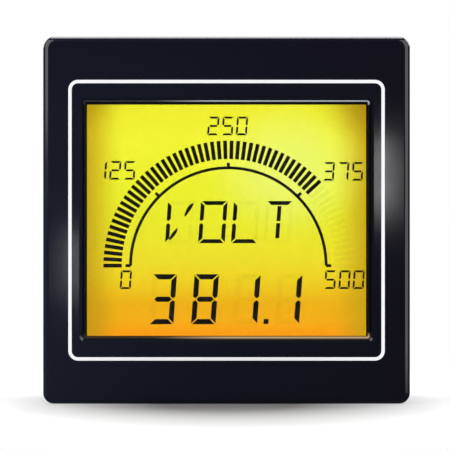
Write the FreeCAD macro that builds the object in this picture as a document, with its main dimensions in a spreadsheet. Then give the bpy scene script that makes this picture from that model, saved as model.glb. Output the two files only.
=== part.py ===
"""A square panel meter: a digital voltmeter with a backlit LCD, as a parametric FreeCAD document.

Units are millimetres. X is to the right as the reader sees it, Y runs away from the reader and Z is up.
The origin is the centre of the meter on the front surface of the panel, where the gasket's back face lies.
Every driving size is a cell of the sheet, and the features read the cells through expressions.
"""

import FreeCAD, Part
import os

import Sketcher
from FreeCAD import Placement, Rotation, Vector

doc = FreeCAD.newDocument("PanelMeter")
sheet = doc.addObject("Spreadsheet::Sheet", "Sheet")


# ---------------------------------------------------------------- the sheet

class Size:
    """A size that knows its value and the expression that reads it from the sheet."""

    def __init__(self, value, text):
        self.value = value
        self.text = text

    def __add__(self, other):
        other = as_size(other)
        return Size(self.value + other.value, f"({self.text} + {other.text})")

    def __sub__(self, other):
        other = as_size(other)
        return Size(self.value - other.value, f"({self.text} - {other.text})")

    def __mul__(self, other):
        other = as_size(other)
        return Size(self.value * other.value, f"({self.text} * {other.text})")

    def __truediv__(self, other):
        other = as_size(other)
        return Size(self.value / other.value, f"({self.text} / {other.text})")

    def __neg__(self):
        return Size(-self.value, f"(0 - {self.text})")

    def __radd__(self, other):
        return as_size(other) + self

    def __rsub__(self, other):
        return as_size(other) - self

    def __rmul__(self, other):
        return as_size(other) * self


def as_size(value):
    """A Size as it is, or a plain number as a Size."""
    if isinstance(value, Size):
        return value
    return Size(float(value), f"({float(value)!r})")


def cell(alias, value):
    """Writes one driving size into the sheet and returns it."""
    cell.row += 1
    sheet.set(f"A{cell.row}", alias)
    sheet.set(f"B{cell.row}", str(value))
    sheet.setAlias(f"B{cell.row}", alias)
    return Size(float(value), f"Sheet.{alias}")


cell.row = 0

# The front: a 72 mm square bezel, as the standard for panel instruments has it.
face_side = cell("face_side", 72.0)
face_corner = cell("face_corner", 2.1)
face_edge = cell("face_edge", 1.2)
bezel_depth = cell("bezel_depth", 6.0)
front_wall = cell("front_wall", 1.4)
window_corner = cell("window_corner", 0.5)
window_slope = cell("window_slope", 1.0)
line_width = cell("line_width", 0.66)
line_margin_x = cell("line_margin_x", 2.8)
line_margin_z = cell("line_margin_z", 4.2)
line_corner = cell("line_corner", 1.6)
line_depth = cell("line_depth", 0.3)
gasket_thick = cell("gasket_thick", 1.0)
gasket_margin = cell("gasket_margin", 0.6)
gasket_clearance = cell("gasket_clearance", 0.3)

# The case, which passes through a 68 mm cut-out.
flange_lap = cell("flange_lap", 2.7)
case_length = cell("case_length", 34.0)
case_corner = cell("case_corner", 1.5)
case_wall = cell("case_wall", 2.0)
collar_wall = cell("collar_wall", 1.8)
inner_corner = cell("inner_corner", 0.6)
tongue_gap = cell("tongue_gap", 1.6)
tongue_length = cell("tongue_length", 3.8)
tongue_root = cell("tongue_root", 3.0)
tongue_wall = cell("tongue_wall", 1.4)
slip = cell("slip", 0.1)
snap_offset = cell("snap_offset", 15.0)
snap_width = cell("snap_width", 8.0)
snap_length = cell("snap_length", 2.4)
snap_margin = cell("snap_margin", 0.95)
snap_height = cell("snap_height", 1.2)
post_side = cell("post_side", 7.0)
post_length = cell("post_length", 20.0)
seat_rib_offset = cell("seat_rib_offset", 12.0)
seat_rib_width = cell("seat_rib_width", 4.0)
seat_rib_height = cell("seat_rib_height", 2.0)
seat_rib_length = cell("seat_rib_length", 4.0)
vent_width = cell("vent_width", 1.6)
vent_length = cell("vent_length", 10.0)
vent_gap = cell("vent_gap", 7.0)
vent_pitch = cell("vent_pitch", 4.0)
vent_count = cell("vent_count", 7)
rack_width = cell("rack_width", 12.8)
rack_depth = cell("rack_depth", 0.8)
rack_gap = cell("rack_gap", 2.0)
rack_margin = cell("rack_margin", 1.5)
tooth_pitch = cell("tooth_pitch", 1.0)
tooth_depth = cell("tooth_depth", 0.4)
tooth_count = cell("tooth_count", 28)

# The rear cover and its screws.
cover_thick = cell("cover_thick", 2.0)
lip_length = cell("lip_length", 3.0)
lip_wall = cell("lip_wall", 1.6)
lip_gap = cell("lip_gap", 6.3)
cover_head = cell("cover_head", 2.0)
cover_head_height = cell("cover_head_height", 1.1)
cover_counterbore = cell("cover_counterbore", 1.2)
cover_shank = cell("cover_shank", 1.0)
cover_screw_length = cell("cover_screw_length", 9.0)
cover_bore_depth = cell("cover_bore_depth", 10.0)
screw_clearance = cell("screw_clearance", 0.05)
driver_slot_width = cell("driver_slot_width", 0.5)
driver_slot_depth = cell("driver_slot_depth", 0.6)

# The window, the display and its holder, from the front to the back.
tape_thick = cell("tape_thick", 0.2)
tape_inset = cell("tape_inset", 0.4)
lens_thick = cell("lens_thick", 1.0)
lens_overlap = cell("lens_overlap", 2.3)
lens_corner = cell("lens_corner", 0.8)
lcd_gap = cell("lcd_gap", 0.2)
film_thick = cell("film_thick", 0.2)
glass_thick = cell("glass_thick", 1.1)
seal_thick = cell("seal_thick", 0.1)
seal_width = cell("seal_width", 1.0)
glass_border_x = cell("glass_border_x", 2.6)
glass_border_z = cell("glass_border_z", 1.3)
glass_ledge = cell("glass_ledge", 2.95)
front_film_inset = cell("front_film_inset", 1.6)
rear_film_inset = cell("rear_film_inset", 0.5)
guide_thick = cell("guide_thick", 3.0)
guide_side_gap = cell("guide_side_gap", 0.15)
diffuser_thick = cell("diffuser_thick", 0.15)
holder_gap = cell("holder_gap", 0.3)
holder_wall = cell("holder_wall", 0.7)
holder_rim = cell("holder_rim", 0.65)
holder_back = cell("holder_back", 1.15)
holder_fit = cell("holder_fit", 0.2)
window_drop = cell("window_drop", 8.5)
zebra_inset = cell("zebra_inset", 3.0)
zebra_width = cell("zebra_width", 1.6)
led_width = cell("led_width", 3.0)
led_height = cell("led_height", 1.0)
led_depth = cell("led_depth", 2.8)
led_pitch = cell("led_pitch", 12.0)

# The circuit boards.
board_thick = cell("board_thick", 1.6)
board_gap = cell("board_gap", 0.3)
power_board_gap = cell("power_board_gap", 0.4)
power_board_space = cell("power_board_space", 10.0)
boss_inset_x = cell("boss_inset_x", 4.5)
boss_inset_z = cell("boss_inset_z", 1.9)
boss_radius = cell("boss_radius", 1.6)
boss_bore_depth = cell("boss_bore_depth", 5.5)
board_screw_head = cell("board_screw_head", 1.5)
board_screw_height = cell("board_screw_height", 1.1)
board_screw_shank = cell("board_screw_shank", 0.8)
board_screw_length = cell("board_screw_length", 6.0)
link_pitch = cell("link_pitch", 2.54)
link_height = cell("link_height", -25.0)
link_pin = cell("link_pin", 0.64)
link_socket_depth = cell("link_socket_depth", 8.5)
link_engagement = cell("link_engagement", 7.0)
pin_tail = cell("pin_tail", 1.0)
hole_gap = cell("hole_gap", 0.1)

# The terminal blocks. Heights are counted from the row of contacts towards the screws.
terminal_height = cell("terminal_height", 17.0)
narrow_pitch = cell("narrow_pitch", 5.08)
wide_pitch = cell("wide_pitch", 7.62)
header_end_wall = cell("header_end_wall", 1.8)
header_wall = cell("header_wall", 1.1)
header_inner = cell("header_inner", 7.2)
header_floor = cell("header_floor", 2.0)
header_inset = cell("header_inset", 0.2)
cover_gap = cell("cover_gap", 0.25)
nose_gap = cell("nose_gap", 0.2)
plug_end_wall = cell("plug_end_wall", 0.8)
plug_floor = cell("plug_floor", 0.9)
plug_wall = cell("plug_wall", 3.4)
plug_edge = cell("plug_edge", 0.5)
pin_side = cell("pin_side", 1.0)
pin_reach = cell("pin_reach", 1.2)
socket_side = cell("socket_side", 2.4)
socket_setback = cell("socket_setback", 0.8)
socket_end = cell("socket_end", 1.0)
bar_width = cell("bar_width", 1.8)
bar_low = cell("bar_low", 0.2)
bar_thick = cell("bar_thick", 0.6)
cage_width = cell("cage_width", 3.4)
cage_depth = cell("cage_depth", 3.8)
cage_height = cell("cage_height", 5.2)
cage_wall = cell("cage_wall", 0.6)
cage_low = cell("cage_low", 3.6)
cage_rise = cell("cage_rise", 2.6)
cage_gap = cell("cage_gap", 0.1)
clamp_head = cell("clamp_head", 1.6)
clamp_head_height = cell("clamp_head_height", 1.6)
clamp_head_recess = cell("clamp_head_recess", 0.8)
clamp_shelf = cell("clamp_shelf", 1.8)
clamp_shank = cell("clamp_shank", 1.1)
shaft_gap = cell("shaft_gap", 0.15)
wire_width = cell("wire_width", 3.4)
wire_high = cell("wire_high", 0.2)
wire_low = cell("wire_low", 3.2)

# The setting keys and the label on the rear cover.
key_first = cell("key_first", -24.0)
key_pitch = cell("key_pitch", 8.0)
key_cap = cell("key_cap", 2.1)
key_gap = cell("key_gap", 0.15)
key_flange = cell("key_flange", 2.8)
key_flange_height = cell("key_flange_height", 0.8)
key_stem = cell("key_stem", 1.3)
key_proud = cell("key_proud", 0.2)
key_recess = cell("key_recess", 0.6)
key_margin = cell("key_margin", 1.4)
key_free = cell("key_free", 0.6)
switch_side = cell("switch_side", 4.6)
switch_height = cell("switch_height", 2.2)
switch_dome = cell("switch_dome", 1.1)
switch_dome_height = cell("switch_dome_height", 0.5)
label_left = cell("label_left", 3.0)
label_width = cell("label_width", 26.0)
label_height = cell("label_height", 17.0)
label_thick = cell("label_thick", 0.15)

# The retaining frame, which slides up the case from behind and grips the panel.
panel_thick = cell("panel_thick", 2.5)
frame_margin = cell("frame_margin", 0.3)
frame_corner = cell("frame_corner", 2.0)
frame_gap = cell("frame_gap", 0.2)
frame_depth = cell("frame_depth", 8.0)
frame_notch = cell("frame_notch", 3.6)
frame_ear = cell("frame_ear", 3.0)
lever_width = cell("lever_width", 11.8)
lever_side_gap = cell("lever_side_gap", 0.3)
lever_pivot_stand = cell("lever_pivot_stand", 1.3)
lever_pivot_back = cell("lever_pivot_back", 1.4)
lever_barrel = cell("lever_barrel", 1.05)
lever_pin = cell("lever_pin", 0.6)
lever_pin_fit = cell("lever_pin_fit", 0.02)
lever_stand = cell("lever_stand", 0.4)
lever_thick = cell("lever_thick", 1.6)
lever_length = cell("lever_length", 17.4)
lever_tail = cell("lever_tail", 0.4)
lever_tail_length = cell("lever_tail_length", 2.4)
pawl_back = cell("pawl_back", 13.0)
pawl_length = cell("pawl_length", 1.4)
pawl_clearance = cell("pawl_clearance", 0.1)
grip_pitch = cell("grip_pitch", 2.0)
grip_count = cell("grip_count", 12)
grip_depth = cell("grip_depth", 0.4)

# The larger components of the power board.
core_gap = cell("core_gap", 0.88)
core_width = cell("core_width", 16.0)
core_height = cell("core_height", 11.0)
core_depth = cell("core_depth", 13.0)
core_low = cell("core_low", 6.0)
core_leg = cell("core_leg", 2.5)
core_centre_leg = cell("core_centre_leg", 5.0)
coil_overhang = cell("coil_overhang", 2.5)
coil_gap = cell("coil_gap", 0.1)
large_can = cell("large_can", 5.0)
large_can_height = cell("large_can_height", 16.0)
small_can = cell("small_can", 4.0)
small_can_height = cell("small_can_height", 12.0)
can_row = cell("can_row", 9.5)
large_can_x = cell("large_can_x", 8.0)
can_gap = cell("can_gap", 2.5)
resistor_radius = cell("resistor_radius", 1.2)
resistor_length = cell("resistor_length", 6.5)
resistor_lift = cell("resistor_lift", 1.8)
resistor_pitch = cell("resistor_pitch", 4.0)
resistor_x = cell("resistor_x", -15.0)
lead_radius = cell("lead_radius", 0.3)
lead_span = cell("lead_span", 10.0)
varistor_radius = cell("varistor_radius", 4.5)
varistor_thick = cell("varistor_thick", 3.5)
varistor_x = cell("varistor_x", 4.0)
varistor_z = cell("varistor_z", -9.0)
relay_width = cell("relay_width", 9.0)
relay_depth = cell("relay_depth", 5.0)
relay_height = cell("relay_height", 6.5)
relay_x = cell("relay_x", 20.0)
relay_pitch = cell("relay_pitch", 9.0)
chip_side = cell("chip_side", 10.0)
chip_thick = cell("chip_thick", 1.4)

doc.recompute()

ZERO = as_size(0)

# Sizes across the axis that several pieces share.
case_side = face_side - flange_lap * 2
cavity_side = case_side - collar_wall * 2
case_inner = case_side - case_wall * 2
case_half = case_side / 2
holder_width = cavity_side - holder_gap * 2
glass_width = holder_width - holder_wall * 2
window_width = glass_width - glass_border_x * 2
window_height = cavity_side - window_drop * 2
rear_glass_height = window_height + glass_border_z * 2
front_glass_height = rear_glass_height + glass_ledge * 2
holder_height = front_glass_height + holder_rim * 2
line_span_x = window_width + line_margin_x * 2
line_span_z = window_height + line_margin_z * 2
zebra_length = glass_width - zebra_inset * 2
zebra_centre = (rear_glass_height + front_glass_height) / 4 + holder_gap
holder_slot = zebra_width / 2 + hole_gap
display_board_side = cavity_side - board_gap * 2
power_board_side = case_inner - power_board_gap * 2
boss_x = cavity_side / 2 - boss_inset_x
boss_z = cavity_side / 2 - boss_inset_z
tongue_outer = cavity_side - slip * 2
tongue_inner = tongue_outer - tongue_wall * 2
rack_face = case_half - rack_depth
post_inner = case_inner / 2 - post_side
cover_screw_place = case_inner / 2 - post_side / 2
core_left = -(narrow_pitch * 1.5 + pin_side / 2 + core_gap + core_width)
small_can_x = large_can_x + large_can + can_gap + small_can
key_recess_width = key_pitch * 2 + (key_cap + key_margin) * 2
key_recess_height = (key_cap + key_margin) * 2
frame_side = face_side - frame_margin * 2
frame_inner = case_side + frame_gap * 2
lever_pivot_x = case_half + lever_pivot_stand
lever_inner = case_half + lever_stand
lever_outer = lever_inner + lever_thick
ear_end = lever_width / 2 + lever_side_gap + frame_ear

# Places along Y that several pieces share.
gasket_front = -gasket_thick
face = gasket_front - bezel_depth
tape_front = face + front_wall
lens_front = tape_front + tape_thick
lens_back = lens_front + lens_thick
film_front = lens_back + lcd_gap
front_glass_front = film_front + film_thick
seal_front = front_glass_front + glass_thick
rear_glass_front = seal_front + seal_thick
rear_film_front = rear_glass_front + glass_thick
diffuser_front = rear_film_front + film_thick + hole_gap
guide_front = diffuser_front + diffuser_thick
guide_back = guide_front + guide_thick
display_board_front = guide_back + hole_gap + holder_back
display_board_back = display_board_front + board_thick
tongue_start = display_board_back + tongue_gap
collar_length = tongue_start + tongue_length
snap_front = collar_length - snap_margin - snap_length
rack_start = collar_length + rack_gap
vent_start = collar_length + vent_gap
case_end = collar_length + case_length
power_board_front = case_end - power_board_space
power_board_back = power_board_front + board_thick
cover_back = case_end + cover_thick
header_back = cover_back - header_inset
header_floor_back = power_board_back + header_floor
plug_front = cover_back + nose_gap
chamber_y = plug_front + plug_wall + cage_gap + cage_depth / 2
plug_back = chamber_y + cage_depth / 2 + cage_gap + plug_wall
frame_front = panel_thick
frame_back = frame_front + frame_depth
pivot_y = frame_back - lever_pivot_back

# Heights in a terminal block, counted from its row of contacts towards the screws.
cage_roof = cage_height - cage_low + cage_rise
clamp_seat = cage_roof + cage_gap * 2 + clamp_shelf
plug_high = clamp_seat + clamp_head_height + clamp_head_recess
plug_low = cage_low + cage_gap + plug_floor

CORNERS = [(1, 1), (-1, 1), (-1, -1), (1, -1)]
SIDES = {"left": -1, "right": 1}


# ---------------------------------------------------------------- outlines

class Drawing:
    """Collects the curves and the constraints of one sketch."""

    def __init__(self, sketch):
        self.sketch = sketch
        self.constraints = []
        self.readings = []

    def curve(self, geometry):
        return self.sketch.addGeometry(geometry, False)

    def hold(self, kind, size, *where):
        """Adds a constraint whose value is read from the sheet."""
        self.readings.append((len(self.constraints), size))
        self.constraints.append(Sketcher.Constraint(kind, *where, size.value))

    def place(self, curve, end, u, v):
        """Holds one point of a curve at (u, v), counted from the sketch's origin."""
        self.hold("DistanceX", u, -1, 1, curve, end)
        self.hold("DistanceY", v, -1, 1, curve, end)

    def join(self, first, second):
        self.constraints.append(Sketcher.Constraint("Coincident", first, 2, second, 1))

    def finish(self):
        self.sketch.addConstraint(self.constraints)
        for index, size in self.readings:
            name = f"size_{index}"
            self.sketch.renameConstraint(index, name)
            self.sketch.setExpression(f"Constraints.{name}", size.text)


def vector(u, v):
    return Vector(u.value, v.value, 0)


def polygon(*corners):
    """A closed outline through the corners, with straight sides."""
    points = [(as_size(u), as_size(v)) for u, v in corners]

    def draw(drawing):
        curves = []
        for start, end in zip(points, points[1:] + points[:1]):
            curves.append(drawing.curve(Part.LineSegment(vector(*start), vector(*end))))
        for curve, following in zip(curves, curves[1:] + curves[:1]):
            drawing.join(curve, following)
        for curve, start in zip(curves, points):
            drawing.place(curve, 1, *start)

    return draw


def rectangle(left, right, low, high):
    """A rectangle with sharp corners. Its sides may be given in either order."""
    u0, u1 = sorted((as_size(left), as_size(right)), key=lambda size: size.value)
    v0, v1 = sorted((as_size(low), as_size(high)), key=lambda size: size.value)
    return polygon((u0, v0), (u1, v0), (u1, v1), (u0, v1))


def centred(u, v, width, height):
    u, v, width, height = map(as_size, (u, v, width, height))
    return rectangle(u - width / 2, u + width / 2, v - height / 2, v + height / 2)


def rounded(u, v, width, height, corner):
    """A rectangle round (u, v) with rounded corners, drawn anticlockwise from its lower side."""
    u, v, width, height, corner = map(as_size, (u, v, width, height, corner))
    left, right = u - width / 2, u + width / 2
    low, high = v - height / 2, v + height / 2
    arcs = [
        (right - corner, low, right, low + corner, right - corner, low + corner, -90),
        (right, high - corner, right - corner, high, right - corner, high - corner, 0),
        (left + corner, high, left, high - corner, left + corner, high - corner, 90),
        (left, low + corner, left + corner, low, left + corner, low + corner, 180),
    ]

    def draw(drawing):
        curves = []
        for place, (u0, v0, u1, v1, cu, cv, turn) in enumerate(arcs):
            circle = Part.Circle(vector(cu, cv), Vector(0, 0, 1), corner.value)
            begin = FreeCAD.Units.Quantity(f"{turn} deg").getValueAs("rad").Value
            end = FreeCAD.Units.Quantity(f"{turn + 90} deg").getValueAs("rad").Value
            arc = drawing.curve(Part.ArcOfCircle(circle, begin, end))
            drawing.place(arc, 1, u0, v0)
            drawing.place(arc, 2, u1, v1)
            drawing.hold("Radius", corner, arc)
            following = arcs[(place + 1) % len(arcs)]
            side = drawing.curve(Part.LineSegment(vector(u1, v1), vector(following[0], following[1])))
            curves += [arc, side]
        for curve, following in zip(curves, curves[1:] + curves[:1]):
            drawing.join(curve, following)

    return draw


def disc(u, v, radius):
    u, v, radius = map(as_size, (u, v, radius))

    def draw(drawing):
        circle = drawing.curve(Part.Circle(vector(u, v), Vector(0, 0, 1), radius.value))
        drawing.place(circle, 3, u, v)
        drawing.hold("Radius", radius, circle)

    return draw


# ---------------------------------------------------------------- pieces

# For each axis: the origin plane across it, and the way that the plane's normal points.
PLANES = {"X": ("YZ_Plane", 1), "Y": ("XZ_Plane", -1), "Z": ("XY_Plane", 1)}


class Piece:
    """A PartDesign body made of prisms, each between two stations along an axis.

    On a sketch across X the coordinates are (y, z), across Y they are (x, z) and across Z they are (x, y).
    """

    def __init__(self, name):
        self.name = name
        self.body = doc.addObject("PartDesign::Body", name)
        self.body.Label = name
        self.last = None
        self.count = 0

    def origin(self, role):
        return next(item for item in self.body.Origin.OriginFeatures if item.Role == role)

    def feature(self, kind):
        self.count += 1
        return self.body.newObject(f"PartDesign::{kind}", f"{self.name}_{kind}_{self.count}")

    def sketch(self, axis, station, outlines):
        role, sense = PLANES[axis]
        self.count += 1
        sketch = self.body.newObject("Sketcher::SketchObject", f"{self.name}_sketch_{self.count}")
        sketch.AttachmentSupport = (self.origin(role), [""])
        sketch.MapMode = "FlatFace"
        offset = as_size(station) * sense
        sketch.AttachmentOffset = Placement(Vector(0, 0, offset.value), Rotation())
        sketch.setExpression("AttachmentOffset.Base.z", offset.text)
        drawing = Drawing(sketch)
        for outline in outlines:
            outline(drawing)
        drawing.finish()
        return sketch

    def pad(self, axis, start, end, *outlines):
        """Adds the prism of the outlines from one station to a higher one."""
        return self.prism("Pad", axis, start, end, outlines, PLANES[axis][1] < 0)

    def pocket(self, axis, start, end, *outlines):
        """Cuts the prism of the outlines away, and stops the build if it cuts nothing."""
        doc.recompute()
        before = self.body.Shape.Volume
        made = self.prism("Pocket", axis, start, end, outlines, PLANES[axis][1] > 0)
        doc.recompute()
        if self.body.Shape.Volume > before * (1 - 1e-7):
            raise RuntimeError(f"{made.Name} cuts nothing")
        return made

    def prism(self, kind, axis, start, end, outlines, backwards):
        profile = self.sketch(axis, start, outlines)
        length = as_size(end) - start
        made = self.feature(kind)
        made.Profile = profile
        made.Reversed = backwards
        made.Length = length.value
        made.setExpression("Length", length.text)
        self.last = made
        return made

    def turn(self, axis, outline):
        """Turns an outline, drawn with its first coordinate as the radius, about the body's Y or Z axis."""
        profile = self.sketch({"Y": "Z", "Z": "Y"}[axis], ZERO, [outline])
        made = self.feature("Revolution")
        made.Profile = profile
        made.ReferenceAxis = (self.origin(f"{axis}_Axis"), [""])
        made.Angle = 360
        self.last = made
        return made

    def repeat(self, feature, axis, pitch, count):
        """Repeats a feature along an axis at a pitch."""
        doc.recompute()
        made = self.feature("LinearPattern")
        made.Originals = [feature]
        made.Direction = (self.origin(f"{axis}_Axis"), [""])
        span = pitch * (count - 1)
        made.Length = span.value
        made.setExpression("Length", span.text)
        made.Occurrences = int(count.value)
        made.setExpression("Occurrences", count.text)
        self.body.Tip = made
        self.last = made
        return made

    def dress(self, kind, size, test):
        """Rounds or bevels the edges whose bounding box passes a test."""
        doc.recompute()
        edges = self.last.Shape.Edges
        chosen = [f"Edge{place + 1}" for place, edge in enumerate(edges) if test(edge.BoundBox)]
        made = self.feature(kind)
        made.Base = (self.last, chosen)
        reading = {"Fillet": "Radius", "Chamfer": "Size"}[kind]
        setattr(made, reading, size.value)
        made.setExpression(reading, size.text)
        self.last = made
        return made

    def put(self, x, y, z, rotation=Rotation()):
        """Places the whole body."""
        set_place(self.body, x, y, z, rotation)
        return self.body


def set_place(item, x, y, z, rotation=Rotation()):
    """Places an object by expressions."""
    x, y, z = map(as_size, (x, y, z))
    item.Placement = Placement(Vector(x.value, y.value, z.value), rotation)
    for name, size in (("x", x), ("y", y), ("z", z)):
        item.setExpression(f"Placement.Base.{name}", size.text)


def box(name, left, right, front, back, low, high):
    """A block between two places on each axis. X and Z may be given in either order."""
    x0, x1 = sorted((as_size(left), as_size(right)), key=lambda size: size.value)
    z0, z1 = sorted((as_size(low), as_size(high)), key=lambda size: size.value)
    y0, y1 = as_size(front), as_size(back)
    made = doc.addObject("Part::Box", name)
    made.Label = name
    for reading, size in (("Length", x1 - x0), ("Width", y1 - y0), ("Height", z1 - z0)):
        setattr(made, reading, size.value)
        made.setExpression(reading, size.text)
    set_place(made, x0, y0, z0)
    return made


def slab(name, width, height, front, thick, centre=ZERO):
    """A block centred on X, such as a pane or a film, with its front and its thickness given."""
    low, high = centre - height / 2, centre + height / 2
    return box(name, -(width / 2), width / 2, front, front + thick, low, high)


# Rotations that lay a cylinder's axis along Y or X.
ALONG_Y = Rotation(Vector(1, 0, 0), -90)
ALONG_X = Rotation(Vector(0, 1, 0), 90)


def rod(name, x, y, z, radius, length, rotation=Rotation()):
    """A cylinder that starts at a place."""
    made = doc.addObject("Part::Cylinder", name)
    made.Label = name
    for reading, size in (("Radius", as_size(radius)), ("Height", as_size(length))):
        setattr(made, reading, size.value)
        made.setExpression(reading, size.text)
    set_place(made, x, y, z, rotation)
    return made


def fused(name, *items):
    made = doc.addObject("Part::MultiFuse", name)
    made.Label = name
    made.Shapes = list(items)
    return made


def less(name, base, tool):
    made = doc.addObject("Part::Cut", name)
    made.Label = name
    made.Base = base
    made.Tool = tool
    return made


def group(name, items):
    """Several separate solids under one name."""
    made = doc.addObject("Part::Compound", name)
    made.Label = name
    made.Links = list(items)
    return made


def near(value, size):
    return abs(value - size.value) < 1e-4


def farthest(bounds):
    """How far an edge reaches from the Y axis, along X or Z."""
    return max(abs(value) for value in (bounds.XMin, bounds.XMax, bounds.ZMin, bounds.ZMax))


def spread(count, pitch):
    """Places of a row of pieces that is centred on zero."""
    return [pitch * (place - (count - 1) / 2) for place in range(count)]


# ---------------------------------------------------------------- the front

def front_bezel():
    """The moulded front: a square flange with a window, and a collar that passes through the panel."""
    piece = Piece("front_bezel")
    piece.pad("Y", face, gasket_front, rounded(0, 0, face_side, face_side, face_corner))
    piece.pad("Y", gasket_front, collar_length, rounded(0, 0, case_side, case_side, case_corner))
    piece.pocket("Y", tape_front, collar_length, rounded(0, 0, cavity_side, cavity_side, inner_corner))
    piece.pocket("Y", face, tape_front, rounded(0, 0, window_width, window_height, window_corner))
    half = face_side / 2
    piece.dress("Fillet", face_edge, lambda edge: near(edge.YMax, face) and near(farthest(edge), half))
    inside = line_span_x / 2 - line_width
    piece.dress("Chamfer", window_slope, lambda edge: near(edge.YMax, face) and farthest(edge) < inside.value)
    piece.pocket("Y", face, face + line_depth, *line_outlines())
    webs = []
    for right, up in CORNERS:
        foot, top = boss_z * up, cavity_side / 2 * up
        webs.append(rectangle(boss_x * right - boss_radius, boss_x * right + boss_radius, foot, top))
    piece.pad("Y", tape_front, display_board_front, *webs)
    piece.pad("Y", tape_front, display_board_front, *corner_discs(boss_x, boss_z, boss_radius))
    bore = board_screw_shank + screw_clearance
    bore_front = display_board_front - boss_bore_depth
    piece.pocket("Y", bore_front, display_board_front, *corner_discs(boss_x, boss_z, bore))
    window = []
    for side in (-1, 1):
        left, right = snap_offset * side - snap_width / 2, snap_offset * side + snap_width / 2
        window.append(rectangle(left, right, snap_front, snap_front + snap_length))
    piece.pocket("Z", cavity_side / 2 - inner_corner, case_half + slip, *window)
    piece.pocket("Z", -(case_half + slip), inner_corner - cavity_side / 2, *window)
    return piece


def line_outlines():
    """The two edges of the white line round the window."""
    return [
        rounded(0, 0, line_span_x + line_width, line_span_z + line_width, line_corner + line_width / 2),
        rounded(0, 0, line_span_x - line_width, line_span_z - line_width, line_corner - line_width / 2),
    ]


def corner_discs(x, z, radius):
    """Four discs, one towards each corner."""
    return [disc(x * right, z * up, radius) for right, up in CORNERS]


def border_inlay():
    Piece("border_inlay").pad("Y", face, face + line_depth, *line_outlines())


def window_parts():
    """The clear lens and the adhesive frame that seals it to the bezel."""
    width, height = window_width + lens_overlap * 2, window_height + lens_overlap * 2
    outer = rounded(0, 0, width, height, lens_corner)
    inner = rounded(0, 0, window_width + tape_inset * 2, window_height + tape_inset * 2, window_corner)
    Piece("lens_tape").pad("Y", tape_front, lens_front, outer, inner)
    Piece("window_lens").pad("Y", lens_front, lens_back, outer)


def panel_gasket():
    outer = face_side - gasket_margin * 2
    inner = case_side + gasket_clearance * 2
    Piece("panel_gasket").pad(
        "Y",
        gasket_front,
        ZERO,
        rounded(0, 0, outer, outer, face_corner - gasket_margin),
        rounded(0, 0, inner, inner, case_corner + gasket_clearance),
    )


# ---------------------------------------------------------------- the display

def liquid_crystal_cell():
    """Two panes with a seal between them, and a polarising film on each outer face."""
    front_film_width = glass_width - front_film_inset * 2
    slab("lcd_front_polariser", front_film_width, rear_glass_height + hole_gap, film_front, film_thick)
    slab("lcd_front_glass", glass_width, front_glass_height, front_glass_front, glass_thick)
    inner_width, inner_height = glass_width - seal_width * 2, rear_glass_height - seal_width * 2
    outline = centred(0, 0, glass_width, rear_glass_height)
    opening = centred(0, 0, inner_width, inner_height)
    Piece("lcd_seal").pad("Y", seal_front, rear_glass_front, outline, opening)
    slab("lcd_rear_glass", glass_width, rear_glass_height, rear_glass_front, glass_thick)
    film_width, film_height = glass_width - rear_film_inset * 2, rear_glass_height - rear_film_inset * 2
    slab("lcd_rear_polariser", film_width, film_height, rear_film_front, film_thick)
    strips = []
    for name, side in (("upper_zebra", 1), ("lower_zebra", -1)):
        depth = display_board_front - seal_front
        strips.append(slab(name, zebra_length, zebra_width, seal_front, depth, zebra_centre * side))
    group("zebra_strips", strips)


def backlight():
    """The light guide with its diffuser, and the row of lamps under its lower edge."""
    width = glass_width - rear_film_inset * 2
    top = rear_glass_height / 2 - guide_side_gap
    lamp_low = -top
    bottom = lamp_low + led_height + holder_fit
    box("backlight_diffuser", -(width / 2), width / 2, diffuser_front, guide_front, bottom, top)
    box("light_guide", -(width / 2), width / 2, guide_front, guide_back, bottom, top)
    lamps = []
    for place, x in enumerate(spread(5, led_pitch)):
        low, high = lamp_low, lamp_low + led_height
        front = display_board_front - led_depth
        left, right = x - led_width / 2, x + led_width / 2
        lamps.append(box(f"lamp_{place + 1}", left, right, front, display_board_front, low, high))
    group("backlight_leds", lamps)


def lcd_holder():
    """The white tray that holds the cell, the light guide and the rubber contact strips."""
    front = seal_front + hole_gap
    cell_back = diffuser_front - hole_gap / 2
    floor = guide_back + hole_gap
    piece = Piece("lcd_holder")
    piece.pad("Y", front, display_board_front, centred(0, 0, holder_width, holder_height))
    width, height = glass_width + holder_fit, rear_glass_height + holder_fit
    piece.pocket("Y", front, cell_back, centred(0, 0, width, height))
    width = glass_width - rear_film_inset * 2 + holder_fit
    piece.pocket("Y", cell_back, floor, centred(0, 0, width, rear_glass_height))
    slots = []
    for side in (-1, 1):
        place = zebra_centre * side
        slots.append(centred(0, place, zebra_length + holder_fit, holder_slot * 2))
    piece.pocket("Y", front, display_board_front, *slots)
    lamp_z = guide_side_gap + led_height / 2 - rear_glass_height / 2
    width, height = led_width + holder_fit, led_height + holder_fit
    lamps = [centred(x, lamp_z, width, height) for x in spread(5, led_pitch)]
    piece.pocket("Y", floor, display_board_front, *lamps)


# ---------------------------------------------------------------- the boards

def link_places():
    """Where the pins between the two boards stand, as (x, z)."""
    rows = spread(2, link_pitch)
    return [(x, link_height + row) for x in spread(6, link_pitch) for row in rows]


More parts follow.
